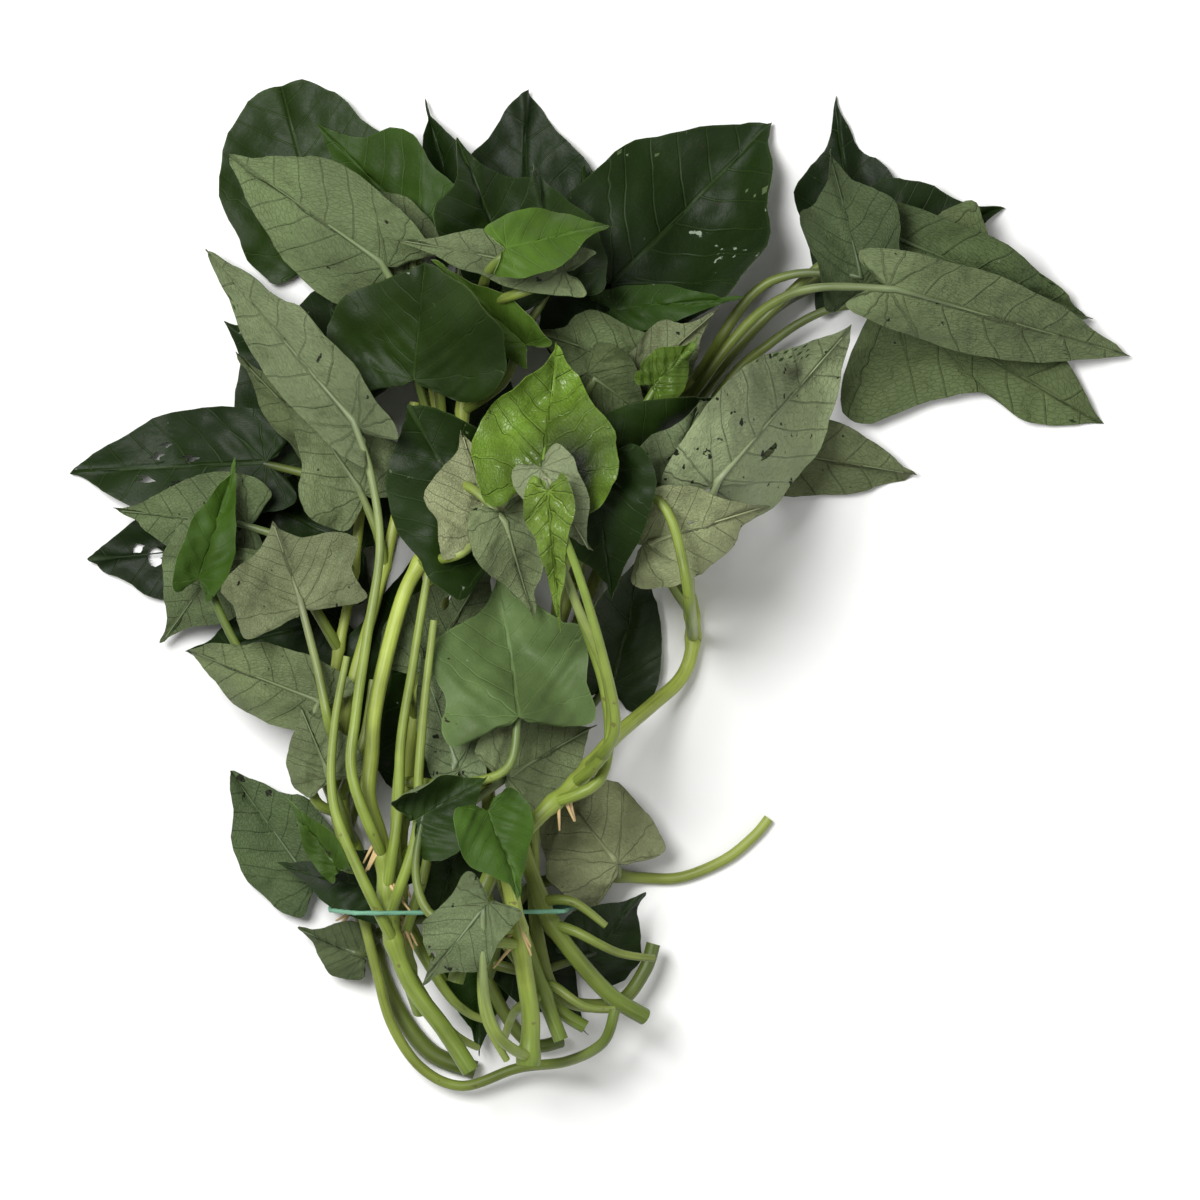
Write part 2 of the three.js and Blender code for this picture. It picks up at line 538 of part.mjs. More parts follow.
// The string: straight under the bunch, taut over the stems it holds
function layTie() {
  const r = STRING / 2;
  const heights = [];
  for (let x = TIE_LEFT + 1; x <= TIE_RIGHT - 1; x += CELL) {
    const near = [];
    for (const row of [-1, 0, 1]) {
      for (const col of [-1, 0, 1]) near.push(pile[(cellOf(TIE_Y) + row) * SIDE + cellOf(x) + col]);
    }
    heights.push(new THREE.Vector2(x, Math.max(...near) - GAP + r + STRING_AIR));
  }
  const hull = [new THREE.Vector2(TIE_LEFT, STRING_REST)];
  for (const p of [...heights, new THREE.Vector2(TIE_RIGHT, STRING_REST)]) {
    while (hull.length > 1) {
      const [a, b] = hull.slice(-2);
      if ((b.x - a.x) * (p.y - a.y) - (b.y - a.y) * (p.x - a.x) < 0) break;
      hull.pop();
    }
    hull.push(p);
  }
  const corners = [...hull, new THREE.Vector2(TIE_RIGHT - 2, r), new THREE.Vector2(TIE_LEFT + 2, r)];
  const sides = STRING_SIDES;
  const points = [];
  const faces = [];
  corners.forEach((p, i) => {
    const ahead = corners[(i + 1) % corners.length].clone().sub(p).normalize();
    const back = p.clone().sub(corners[(i + corners.length - 1) % corners.length]).normalize();
    const along = ahead.add(back).normalize();
    for (let k = 0; k < sides; k++) {
      const turn = (k / sides) * 2 * Math.PI;
      const out = r * Math.cos(turn);
      points.push([p.x - along.y * out, TIE_Y + r * Math.sin(turn), p.y + along.x * out]);
    }
    const next = ((i + 1) % corners.length) * sides;
    for (let k = 0; k < sides; k++) {
      const a = i * sides + k;
      const b = i * sides + ((k + 1) % sides);
      const c = next + k;
      const d = next + ((k + 1) % sides);
      faces.push([a, c, d], [a, d, b]);
    }
  });
  hull.slice(1).forEach((p, i) => {
    for (let k = 0; k <= 8; k++) {
      const q = hull[i].clone().lerp(p, k / 8);
      for (const dy of [-CELL, 0, CELL]) raise(q.x, TIE_Y + dy, q.y + 2 * r + GAP);
    }
  });
  return solid(points, faces);
}

const bunch = new THREE.Group();
bunch.name = "sweet_potato_leaf_bunch";

for (let x = TIE_LEFT; x <= TIE_RIGHT; x += CELL) {
  for (const dy of [-CELL, 0, CELL]) raise(x, TIE_Y + dy, STRING + STRING_AIR);
}

for (const shoot of SHOOTS) {
  if (shoot.name === "centre_right_shoot") {
    bunch.add(toMesh("tie", layTie(), 0x6faa8c, 0.6));
  }
  const stem = layStem(shoot);
  const spurs = (shoot.spurs ?? []).map((row) => laySpur(stem.path, row));
  const leaves = shoot.leaves.flatMap((row, i) => layLeaf(stem.path, row, i));
  bunch.add(toMesh(shoot.name, wholeBody([stem.body, ...spurs, ...leaves]), shoot.green, 0.6));
}

export default bunch;
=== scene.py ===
from functools import partial
import bpy
import numpy as np
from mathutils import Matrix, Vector


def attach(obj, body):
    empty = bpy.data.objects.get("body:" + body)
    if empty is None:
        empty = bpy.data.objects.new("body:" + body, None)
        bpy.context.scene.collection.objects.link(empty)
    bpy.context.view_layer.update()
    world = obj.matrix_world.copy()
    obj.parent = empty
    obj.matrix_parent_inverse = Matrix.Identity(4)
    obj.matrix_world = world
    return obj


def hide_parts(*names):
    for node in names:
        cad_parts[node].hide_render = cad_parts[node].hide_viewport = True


# a tied bunch of sweet potato tops, seen from above: fine leaves, stems, rootlets and string for the solids
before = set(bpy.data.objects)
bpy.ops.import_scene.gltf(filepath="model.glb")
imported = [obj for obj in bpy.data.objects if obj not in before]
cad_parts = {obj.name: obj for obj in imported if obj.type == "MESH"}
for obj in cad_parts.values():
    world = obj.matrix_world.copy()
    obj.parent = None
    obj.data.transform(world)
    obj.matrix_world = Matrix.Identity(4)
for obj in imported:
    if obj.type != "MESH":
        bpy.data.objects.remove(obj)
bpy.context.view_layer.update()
rng = np.random.default_rng(11)
print("frame loaded:", len(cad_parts), "solids")

# how the bunch is laid, mm: each shoot takes its height from what lies under it
lay = dict(
    cell=3.0, span=210.0,  # grid of heights: its cells, and from its middle to its border
    blade=0.8, gap=0.8,  # thickness of a solid blade, air over each layer
    leafReach=3, tubeReach=1, stemReach=8, stalkReach=6,  # cells or points that heights look round
    stemSteps=8, stemSides=6,  # points to each span of a stem, sides of a solid stem
    stalkRun=28.0, stalkLeast=3, stalkSteps=6,  # mm of stalk to a span, fewest spans, points to each
    stalkMeasure=201,  # points for the length of a stalk
    stalkRoot=4.0, stalkTip=2.4,  # thickness of a stalk
    stalkFade=16.0, fadeMost=0.7,  # mm of a stalk, and most share of it, to leave its stem's height
    stalkLead=0.3, stalkBend=0.45,  # where a stalk bends if its row doesn't say
    longLeaf=70.0, midLeaf=42.0,  # blades over these have three and two rings in the solids
    seat=3.0, seatSide=0.6,  # mm a stalk runs into its blade, and shares of its radius off it
    sureRings=12, sureSteps=36,  # grid of a blade when its place is found
    ripples=(13, 23), rippleFine=0.6,  # waves round a blade, and the share of the finer ones
    seedStep=2.1,  # how the waves of one leaf differ from the next
    string=1.6, stringAir=0.5, stringSteps=8,  # thickness, air to the stems, steps from bend to bend
    stringRest=3.0, stringTurn=2.0,  # height where its upper run ends, and how far in its lower run does
    tieY=-107.0, tieLeft=-91.0, tieRight=-9.0,  # where the string goes round
)

# half outlines from the tip round to the stalk notch, in shares of length and half width
forms = dict(
    heart=[[1, 0], [0.8, 0.2], [0.45, 0.84], [0.1, 1], [-0.15, 0.72], [-0.05, 0.1]],
    spear=[[1, 0], [0.7, 0.24], [0.36, 0.56], [0.12, 1], [-0.12, 0.62], [-0.05, 0.09]],
    hastate=[[1, 0], [0.74, 0.3], [0.48, 0.34], [0.15, 1], [0, 0.84], [-0.05, 0.09]],
    wide=[[1, 0], [0.87, 0.3], [0.52, 0.95], [0.12, 1], [-0.14, 0.7], [-0.05, 0.1]],
    round=[[1, 0], [0.96, 0.5], [0.62, 0.96], [0.14, 0.96], [-0.12, 0.7], [-0.05, 0.1]],
    angled=[[1, 0], [0.76, 0.26], [0.54, 0.94], [0.2, 0.84], [-0.12, 0.86], [-0.05, 0.1]],
    cordate=[[1, 0], [0.8, 0.24], [0.4, 0.92], [0.02, 1], [-0.28, 0.62], [-0.05, 0.1]],
)

# a leaf's own settings are in its row below; these are what a row leaves out. Angles in degrees, holes as
# place and half axes in leaf lengths, scuffs as place and reach, a painted shadow in a hollow as place,
# reach and depth; the brightness factor is painted light above one and painted shade below one
leafBase = dict(
    form="heart", face="top", fold=3, curl=[5, 5], bend=-4, roll=0, wave=0.9, via=None,
    skin=None, holes=[], scuffs=[], specks=0.0, shade=1.0, crumple=1.0, hollow=None,
)


# a row: base, tip, width over length, share of the stem where the stalk starts, and the leaf's own settings
def grow(base, tip, wide, node, **own):
    return {**leafBase, **own, "base": base, "tip": tip, "wide": wide, "node": node}


# lowest shoot first, places in mm
shoots = [
    dict(
        name="left_low_shoot", dia=[6.4, 4.2],
        stem=[[-42, -162], [-57, -156], [-69, -140], [-78, -117], [-83, -97], [-87, -75], [-85, -50],
            [-81, -30], [-76, -3], [-68, 30], [-60, 63]],
        leaves=[
            grow([-40, -113], [-41, -157], 0.66, 0.3, face="fresh", shade=0.7),
            grow([-97, -99], [-125, -61], 0.66, 0.44, form="wide", face="under", specks=0.35),
            grow([-80, -123], [-102, -114], 0.8, 0.28, face="under"),
            grow([-116, 16], [-173, 10], 0.62, 0.6, form="wide",
                holes=[(0.6, 0.02, 0.05, 0.06), (0.5, -0.1, 0.03, 0.04), (0.7, -0.04, 0.03, 0.03)]),
            grow([-88, -10], [-140, -21], 0.62, 0.54),
            grow([-80, 14], [-128, 36], 0.85, 0.68),
            grow([-77, -56], [-60, 16], 0.64, 0.46),
        ],
    ),
    dict(
        name="crown_back_shoot", dia=[4.6, 3.8],
        stem=[[-13, -152], [-23, -153], [-33, -141], [-40, -123], [-45, -103],
            [-50, -77], [-53, -50], [-53, -17], [-53, 17], [-57, 53], [-63, 84]],
        leaves=[
            grow([-93, 115], [-108, 170], 0.98, 0.98, form="round", shade=1.9),
            grow([-26, 108], [-25, 169], 0.78, 0.88, form="wide"),
            grow([-46, 118], [-59, 166], 0.6, 0.93, fold=40),
            grow([-84, 60], [-127, 91], 1.25, 0.76, form="angled"),
            grow([-50, 34], [-30, 82], 0.8, 0.8),
            grow([-32, -112], [-4, -150], 0.64, 0.42),
        ],
    ),
    dict(
        name="side_vine", dia=[4.4, 3.4],
        stem=[[-38, -130], [-33, -114], [-22, -99], [0, -96], [13, -97], [27, -97], [42, -91],
            [52, -83], [57, -77]],
        leaves=[
            grow([6, -92], [-22, -58], 0.95, 0.42, face="under", curl=[10, 40], shade=2.6),
            grow([-4, -124], [15, -101], 0.95, 0.04),
        ],
    ),
    dict(
        name="right_shoot", dia=[4.8, 4],
        stem=[[18, -119], [15, -128], [7, -138], [-7, -139], [-16, -133], [-20, -120], [-22, -104],
            [-22, -73], [-17, -43], [-7, -10], [7, 23], [22, 53], [35, 75]],
        leaves=[
            grow([88, 103], [79, 167], 0.56, 0.86, form="angled", via=[[56, 92]]),
            grow([92, 115], [137, 129], 0.86, 0.89, via=[[58, 94]]),
            grow([98, 98], [170, 56], 0.96, 0.8, form="hastate", face="under",
                via=[[40, 66], [56, 82], [76, 94]], shade=1.05),
            grow([92, 121], [166, 91], 0.32, 0.95, form="wide", face="under", fold=14,
                via=[[62, 98], [78, 112]], shade=0.75),
            grow([88, 102], [77, 148], 0.8, 0.98, form="angled", face="under", fold=14, curl=[40, 14],
                via=[[50, 98], [66, 106]], shade=0.6),
            grow([96, 101], [179, 79], 0.32, 0.92, form="wide", face="under", fold=10,
                via=[[44, 83], [58, 96], [74, 101]]),
        ],
    ),
    dict(
        name="crown_right_shoot", dia=[5.8, 4.2],
        spurs=[[0.26, [-8, -114], [6, -121], [18, -123]], [0.32, [-9, -104], [2, -112]]],
        stem=[[15, -143], [4, -136], [-7, -124], [-17, -110], [-22, -97], [-27, -80], [-27, -57],
            [-20, -30], [-10, 0], [0, 30], [7, 57], [10, 80]],
        leaves=[
            grow([0, 86], [-6, 143], 0.72, 0.92),
            grow([4, 103], [58, 158], 0.78, 1, form="wide",
                scuffs=[(0.43, -0.07, 0.06), (0.435, -0.26, 0.09)]),
            grow([4, 94], [48, 97], 0.34, 0.9, face="under", roll=-8, skin="fresh", shade=0.75),
            grow([16, 74], [-26, 88], 0.6, 0.86, form="angled", face="under", fold=8, shade=0.95),
            grow([8, 66], [40, 94], 0.5, 0.8, form="angled", face="under", fold=8, shade=1.1),
            grow([-4, 72], [18, 56], 0.95, 0.78, face="under", shade=0.6),
            grow([18, 68], [33, 84], 0.75, 0.74, face="young", fold=10),
            grow([2, 34], [44, 66], 0.8, 0.68),
            grow([4, -32], [15, 15], 0.62, 0.54),
        ],
    ),
    dict(
        name="crown_left_shoot", dia=[4.6, 3.6],
        spurs=[[0.14, [-16, -132], [-5, -139], [5, -140]]],
        stem=[[-5, -146], [-14, -140], [-24, -128], [-34, -113], [-41, -93], [-47, -70], [-50, -37],
            [-48, -3], [-50, 30], [-55, 63], [-60, 92], [-63, 108]],
        leaves=[
            grow([-46, -82], [-57, -117], 0.8, 0.44),
            grow([-60, 122], [-96, 158], 0.8, 1, form="angled", face="fresh", shade=0.9),
            grow([-64, 114], [-91, 136], 0.75, 0.9, face="under"),
            grow([-71, 108], [-125, 147], 0.58, 0.78, form="wide", face="under", roll=-14),
        ],
    ),
    dict(
        name="left_shoot", dia=[3.6, 3.4],
        stem=[[5, -140], [1, -151], [-11, -158], [-28, -161], [-46, -167], [-60, -161], [-70, -146],
            [-75, -128], [-79, -112], [-84, -93], [-90, -70], [-92, -50], [-88, -23], [-83, 3], [-80, 30]],
        leaves=[
            grow([-112, 43], [-179, 40], 0.56, 1, form="wide",
                holes=[(0.5, -0.12, 0.03, 0.02), (0.56, -0.05, 0.02, 0.03), (0.62, 0.06, 0.035, 0.02),
                    (0.45, 0.1, 0.02, 0.03), (0.38, -0.04, 0.025, 0.02)]),
            grow([-118, 22], [-164, 27], 0.72, 0.94, face="under", specks=0.4),
            grow([-124, 14], [-148, -18], 0.9, 0.87, face="under"),
            grow([-134, 4], [-121, 44], 0.5, 0.81, face="fresh", fold=30),
        ],
    ),
    dict(
        name="left_mid_shoot", dia=[4.8, 3.6],
        spurs=[[0.3, [-91, -66], [-96, -52], [-99, -40]], [0.4, [-79, -50], [-76, -30]],
            [0.12, [-52, -134], [-44, -142], [-36, -145]]],
        stem=[[-53, -132], [-62, -117], [-72, -103], [-82, -87], [-87, -70], [-86, -48], [-82, -28],
            [-76, -7], [-70, 17], [-65, 40], [-62, 63]],
        leaves=[
            grow([-92, 48], [-123, 80], 0.4, 0.86, face="under"),
            grow([-79, 32], [-110, 77], 0.76, 0.76, form="spear", face="under", fold=16),
            grow([-91, -38], [-138, -20], 0.5, 0.37, form="wide", face="under",
                via=[[-95, -70], [-98, -52]]),
            grow([-90, -62], [-100, -38], 0.95, 0.31, face="under"),
            grow([-99, -6], [-109, 23], 1.6, 0.46, form="angled", face="under", bend=-30,
                via=[[-90, -45], [-94, -26]], specks=0.2, shade=1.12),
            grow([-68, -101], [-109, -92], 0.6, 0.2, curl=[30, 10]),
            grow([-88, -92], [-104, -69], 0.45, 0.26, face="fresh", fold=26),
        ],
    ),
    dict(
        name="crown_front_shoot", dia=[5, 3.8],
        spurs=[[0.1, [-28, -140], [-32, -150]], [0.35, [-45, -76], [-49, -52]]],
        stem=[[-13, -150], [-18, -137], [-25, -117], [-32, -97], [-37, -70], [-40, -43], [-42, -17],
            [-43, 10], [-45, 37], [-46, 63], [-43, 85], [-40, 98]],
        leaves=[
            grow([-30, 106], [-48, 152], 0.74, 0.93, form="angled"),
            grow([-14, 102], [-22, 143], 0.85, 0.87),
            grow([-25, 82], [-56, 110], 0.46, 0.81, face="under", fold=34, skin="fresh", shade=1.3),
            grow([-12, 106], [-70, 117], 0.36, 0.97, face="under", fold=12, roll=16),
            grow([-31, 113], [5, 122], 0.6, 1, face="fresh", bend=-20, shade=1.25),
            grow([-62, 70], [-58, 109], 1.5, 0.74, form="wide", bend=-24),
        ],
    ),
    dict(
        name="centre_low_shoot", dia=[5.4, 4.2],
        spurs=[[0.3, [-68, -76], [-66, -50], [-62, -22]], [0.2, [-58, -92], [-57, -70]],
            [0.12, [-57, -138], [-49, -148], [-41, -153]]],
        stem=[[-60, -141], [-64, -128], [-66, -112], [-67, -95], [-66, -75], [-64, -57], [-61, -33],
            [-58, -10], [-56, 17], [-53, 43]],
        leaves=[
            grow([-58, -26], [-35, 13], 0.82, 0.62, face="under", holes=[(0.475, 0.12, 0.05, 0.035)],
                specks=0.4),
            grow([-47, -60], [-61, -18], 0.46, 0.44, face="under", fold=18, specks=0.5, shade=1.2),
            grow([-31, -62], [-1, -45], 0.95, 0.36, face="under"),
            grow([-27, -42], [-34, 6], 1.16, 0.52, form="angled", face="dusty",
                via=[[-44, -64], [-30, -58]], shade=1.4),
        ],
    ),
    dict(
        name="front_left_shoot", dia=[6, 4.6],
        spurs=[[0.3, [-67, -74], [-66, -50], [-62, -25], [-58, 0], [-54, 20]],
            [0.26, [-61, -82], [-60, -60], [-58, -36], [-55, -10]],
            [0.22, [-84, -84], [-89, -66], [-88, -44], [-84, -22]]],
        stem=[[-43, -160], [-52, -146], [-63, -131], [-69, -115], [-71, -98], [-73, -83], [-77, -69],
            [-76, -55], [-75, -41], [-71, -22], [-65, -1], [-58, 13], [-53, 30], [-50, 47]],
        leaves=[
            grow([-36, 12], [-64, 62], 0.8, 0.9, form="wide"),
            grow([-36, 19], [-46, 53], 1.1, 0.83, form="angled", face="under", specks=0.3, shade=1.6),
            grow([-32, 25], [-22, -10], 0.7, 0.95, face="under"),
            grow([-80, 54], [-133, 115], 0.3, 0.36, form="wide", face="under", fold=8, curl=[10, 24],
                via=[[-82, -62], [-81, -42], [-77, -14], [-73, 14], [-76, 38]]),
        ],
    ),
    dict(
        name="centre_right_shoot", dia=[5.6, 4.4],
        stem=[[-48, -130], [-43, -113], [-35, -92], [-20, -75], [-8, -64], [4, -50], [17, -39],
            [27, -30], [31, -20], [31, -8], [28, 3]],
        leaves=[
            grow([18, 30], [34, 63], 0.75, 0.9, face="under", fold=16),
            grow([40, 50], [107, 39], 0.42, 0.97, form="wide", face="under", roll=6, shade=0.9),
            grow([37, 34], [84, 88], 0.54, 0.94, form="wide", face="under", fold=8, curl=[16, 12],
                holes=[(0.3, -0.09, 0.06, 0.014)], specks=0.5, shade=1.45, hollow=(0.66, 0.06, 0.04, 0.8)),
            grow([14, 15], [56, 28], 0.76, 1, face="under", fold=8, curl=[12, 16], via=[[22, 12]],
                holes=[(0.4, 0.06, 0.04, 0.012)], shade=1.35),
            grow([-1, 40], [4, -4], 0.82, 0.84, via=[[22, 26]], shade=0.8),
            grow([-19, 38], [-14, 82], 1.08, 0.34, form="cordate", face="young", fold=6, curl=[18, 12],
                via=[[-1, -64], [3, -50], [1, -31], [-6, -10], [-14, 14]], crumple=2.3,
                hollow=(0.08, -0.22, 0.3, 0.97)),
            grow([-19, 40], [-3, 12], 0.66, 0.4, face="under",
                via=[[3, -51], [2, -28], [-8, -4], [-16, 20]]),
            grow([-17, 32], [-13, -14], 0.42, 0.44, form="spear", face="young", fold=26,
                via=[[5, -46], [1, -22], [-8, 8]]),
        ],
    ),
    dict(
        name="front_low_shoot", dia=[6.6, 5],
        spurs=[[0.56, [-35, -114], [-39, -126], [-38, -142], [-31, -156]]],
        stem=[[-24, -158], [-23, -143], [-25, -127], [-28, -108], [-31, -93], [-36, -80]],
        leaves=[
            grow([-61, -76], [-37, -62], 1.2, 0.5, curl=[100, 10],
                via=[[-44, -114], [-57, -106], [-61, -92]], shade=1.25),
            grow([-37, -103], [-59, -131], 0.74, 0.04, form="angled", face="under",
                via=[[-33, -148], [-38, -133]], holes=[(0.7, -0.1, 0.035, 0.03)], specks=0.3, shade=0.82),
            grow([-37, -73], [-26, -102], 0.86, 0.96, face="fresh", fold=12, shade=0.88),
        ],
    ),
]

cells = 2 * round(lay["span"] / lay["cell"]) + 1
pile = np.zeros((cells, cells))


# sRGB 0-255 to linear light
def linear(colour):
    c = np.asarray(colour, float) / 255
    return np.where(c < 0.04045, c / 12.92, ((c + 0.055) / 1.055) ** 2.4)


# straight from one value to another
def between(start, end, share):
    return start + (end - start) * share


# smooth curve through the points: cubic pieces, each slope half the step between a point's neighbours
def spline(points, share):
    p = np.asarray(points, float)
    last = len(p) - 1
    i = np.minimum(np.floor(share * last).astype(int), last)
    w = (share * last - i)[:, None]
    before, here = p[np.maximum(i - 1, 0)], p[i]
    ahead, beyond = p[np.minimum(i + 1, last)], p[np.minimum(i + 2, last)]
    out, into = (ahead - before) / 2, (beyond - here) / 2
    cube = 2 * here - 2 * ahead + out + into
    square = 3 * ahead - 3 * here - 2 * out - into
    return cube * w**3 + square * w**2 + out * w + here


# way along a path up to each of its points: the sum of the steps before it
def runOf(path):
    return np.concatenate([[0], np.cumsum(np.linalg.norm(np.diff(path, axis=0), axis=1))])


# run and rise of an arc of unit length that turns by this angle: sin t / t and (1 - cos t) / t
def arcOf(turn):
    t = np.where(turn == 0, 1e-9, turn)
    return np.sin(t) / t, (1 - np.cos(t)) / t


# column and row of the cell nearest to a place
def cellOf(x, y):
    return [np.floor((v + lay["span"]) / lay["cell"] + 0.5).astype(int) for v in (x, y)]


# lifts the pile to a height at these places, where it is lower
def raiseTo(x, y, top):
    col, row = cellOf(x, y)
    np.maximum.at(pile, (row, col), top)


# the same under a tube: its middle and its radius each way
def raiseTube(path, radius):
    for dx in (-1, 0, 1):
        for dy in (-1, 0, 1):
            raiseTo(path[:, 0] + dx * radius, path[:, 1] + dy * radius, path[:, 2] + radius + lay["gap"])


# the bed: highest of the pile within reach, then the mean of that within reach
def bedOver(reach):
    grid = pile
    for pick in (np.max, np.mean):
        for axis in (1, 0):
            pad = [(reach, reach) if k == axis else (0, 0) for k in (0, 1)]
            wide = np.pad(grid, pad, mode="edge")
            grid = pick(np.lib.stride_tricks.sliding_window_view(wide, 2 * reach + 1, axis), -1)
    return grid


# height of the bed between its cells, straight from cell to cell
def bedAt(bed, x, y):
    u, v = (x + lay["span"]) / lay["cell"], (y + lay["span"]) / lay["cell"]
    col, row = np.floor(u).astype(int), np.floor(v).astype(int)
    u, v = u - col, v - row
    near = bed[row, col] * (1 - u) + bed[row, col + 1] * u
    far = bed[row + 1, col] * (1 - u) + bed[row + 1, col + 1] * u
    return near * (1 - v) + far * v


# the same without creases: three cells each way, weighted by a rounded hat
def softBedAt(bed, x, y):
    u, v = (x + lay["span"]) / lay["cell"], (y + lay["span"]) / lay["cell"]
    col, row = np.round(u).astype(int), np.round(v).astype(int)
    hats = [[0.5 * (0.5 - d) ** 2, 0.75 - d**2, 0.5 * (0.5 + d) ** 2] for d in (u - col, v - row)]
    return sum(hats[0][i] * hats[1][j] * bed[row + j - 1, col + i - 1] for i in range(3) for j in range(3))


# heights along a stiff path: highest within reach, then the mean of that, cut short at the ends
def stiffen(height, reach):
    pad = lambda h, fill: np.lib.stride_tricks.sliding_window_view(
        np.pad(h, reach, constant_values=fill), 2 * reach + 1)
    wide = pad(height, -1.0).max(-1)
    return pad(wide, 0.0).sum(-1) / pad(np.ones_like(wide), 0.0).sum(-1)


# a flat point of the blade, a along and b across, to its place: margins turn on an arc (curl), halves rise
# about the midrib (fold), the blade leans (roll), arches along its length (bend), ripples at its edge (wave)
def shapeBlade(leaf, a, b, share, edge):
    arc, rise = arcOf(np.radians(np.where(b > 0, *leaf["curl"])) * np.abs(b) / leaf["half"])
    fold, roll = np.radians(leaf["fold"]), np.radians(leaf["roll"])
    out = b * (arc * np.cos(fold) - rise * np.sin(fold))
    over = np.abs(b) * (arc * np.sin(fold) + rise * np.cos(fold))
    across = out * np.cos(roll) - over * np.sin(roll)
    run, climb = arcOf(np.radians(leaf["bend"]) * a / leaf["length"])
    along = a * run
    z = out * np.sin(roll) + over * np.cos(roll) + a * climb
    coarse, fine = (np.sin(edge * n + k * leaf["seed"]) for k, n in enumerate(lay["ripples"], 1))
    z = z + leaf["wave"] * share**2 * (coarse + lay["rippleFine"] * fine)
    (ax, ay), (bx, by) = leaf["axis"], leaf["base"]
    return np.stack([bx + along * ax - across * ay, by + along * ay + across * ax, z], -1)


# flat grid of a blade: rings from the stalk to the edge, columns once round from notch to notch
def bladePlane(leaf, rings, steps):
    edge = np.arange(-steps, steps + 1) / steps
    rim = spline(forms[leaf["form"]], np.abs(edge))
    share, edge = np.broadcast_arrays(np.linspace(0, 1, rings + 1)[:, None], edge)
    return share * rim[:, 0] * leaf["length"], share * rim[:, 1] * np.sign(edge) * leaf["half"], share, edge


leafLook = dict(
    rings=18, steps=40,  # grid of one blade
    thick=0.5, thickEdge=0.26,  # mm
    quilt=0.3,  # mm the blade swells between its side veins
    crumple=0.95, crumpleWaves=(0.24, 0.3),  # mm of uneven waves all over, and radians a mm
    ruffle=0.8, ruffleWaves=17,  # mm of waves at the edge, and radians round each half
    blister=0.5, blisterWaves=(0.9, 1.1),  # mm, young leaves only
    jag=0.026, jagWaves=40, lobe=0.06, lobeWaves=13,  # fine and coarse unevenness of the outline
    drip=0.35, dripReach=0.09,  # how much the tip narrows to a point
    holePull=(0.55, 1.5), holeEdge=0.97, edgeKept=0.97,  # points this near go onto a hole's edge
    veinStep=0.165, veinLean=0.6, veinCurve=0.75,  # side veins, in leaf lengths
    patchesAndShade=0.22, patchWaves=(5, 7),  # how much its colour changes over one leaf: partly its own patches, partly painted shading of its curves
    spread=0.12, hueSpread=0.04,  # how much one leaf's colour differs from the next
    deepShade=0.5, high=1.42, highAt=100.0,  # painted shade and light by height: brightness of the lowest leaves, and of those this many mm up
    shadeHue=np.array([1.12, 0.93, 1.2]),  # powers on the painted light and shade: leaves in painted shade go green, those in painted light pale
    # colour of the upper side and of the underside, sRGB
    colours=dict(
        top=[(29, 46, 11), (98, 110, 74)],
        under=[(34, 54, 14), (103, 114, 79)],
        fresh=[(54, 80, 22), (94, 112, 66)],
        young=[(84, 110, 33), (108, 134, 56)],
        dusty=[(74, 92, 52), (98, 108, 78)],
    ),
)


# side vein counter at a flat place in leaf lengths: whole numbers lie between veins, halves on them
def veinLane(x, y):
    w = np.abs(y)
    way = x - leafLook["veinLean"] * w - leafLook["veinCurve"] * w**2
    return way / leafLook["veinStep"] + 0.5 * (y > 0)


# uneven waves between -1 and 1: three sines in turned directions, each finer and lower than the one before
def waves(u, v, seed):
    return (0.5 * np.sin(u + 0.6 * v + seed) + 0.32 * np.sin(1.7 * v - 0.9 * u + 2.3 * seed)
            + 0.18 * np.sin(2.6 * u + 1.9 * v + 0.7 * seed))


# the blade's flat grid in leaf lengths: drawn in at the tip, its way out uneven by waves round the edge,
# points near a hole moved onto its edge; and the cells that are left outside the holes
def bladeFlat(leaf):
    a, b, share, edge = bladePlane(leaf, leafLook["rings"], leafLook["steps"])
    b = b * (1 - leafLook["drip"] * np.exp(-((edge / leafLook["dripReach"]) ** 2)) * share**3)
    uneven = leafLook["jag"] * waves(edge * leafLook["jagWaves"], 0 * edge, leaf["seed"])
    uneven = uneven + leafLook["lobe"] * waves(edge * leafLook["lobeWaves"], 0 * edge, 5 * leaf["seed"])
    out = 1 + uneven * np.sin(np.pi * np.abs(edge)) * share**3
    x, y = a * out / leaf["length"], b * out / leaf["length"]
    keep = np.ones((len(a) - 1, a.shape[1] - 1), bool)
    mid = lambda g: (g[:-1, :-1] + g[1:, :-1] + g[:-1, 1:] + g[1:, 1:]) / 4
    low, high = leafLook["holePull"]
    for hx, hy, rx, ry in leaf["holes"]:
        far = np.hypot((x - hx) / rx, (y - hy) / ry)
        near = (far > low) & (far < high) & (share < leafLook["edgeKept"]) & (share > 0)
        pull = np.where(near, 1 / np.maximum(far, 0.1), 1)
        x, y = hx + (x - hx) * pull, hy + (y - hy) * pull
        keep &= np.hypot((mid(x) - hx) / rx, (mid(y) - hy) / ry) > leafLook["holeEdge"]
    return x, y, share, edge, keep
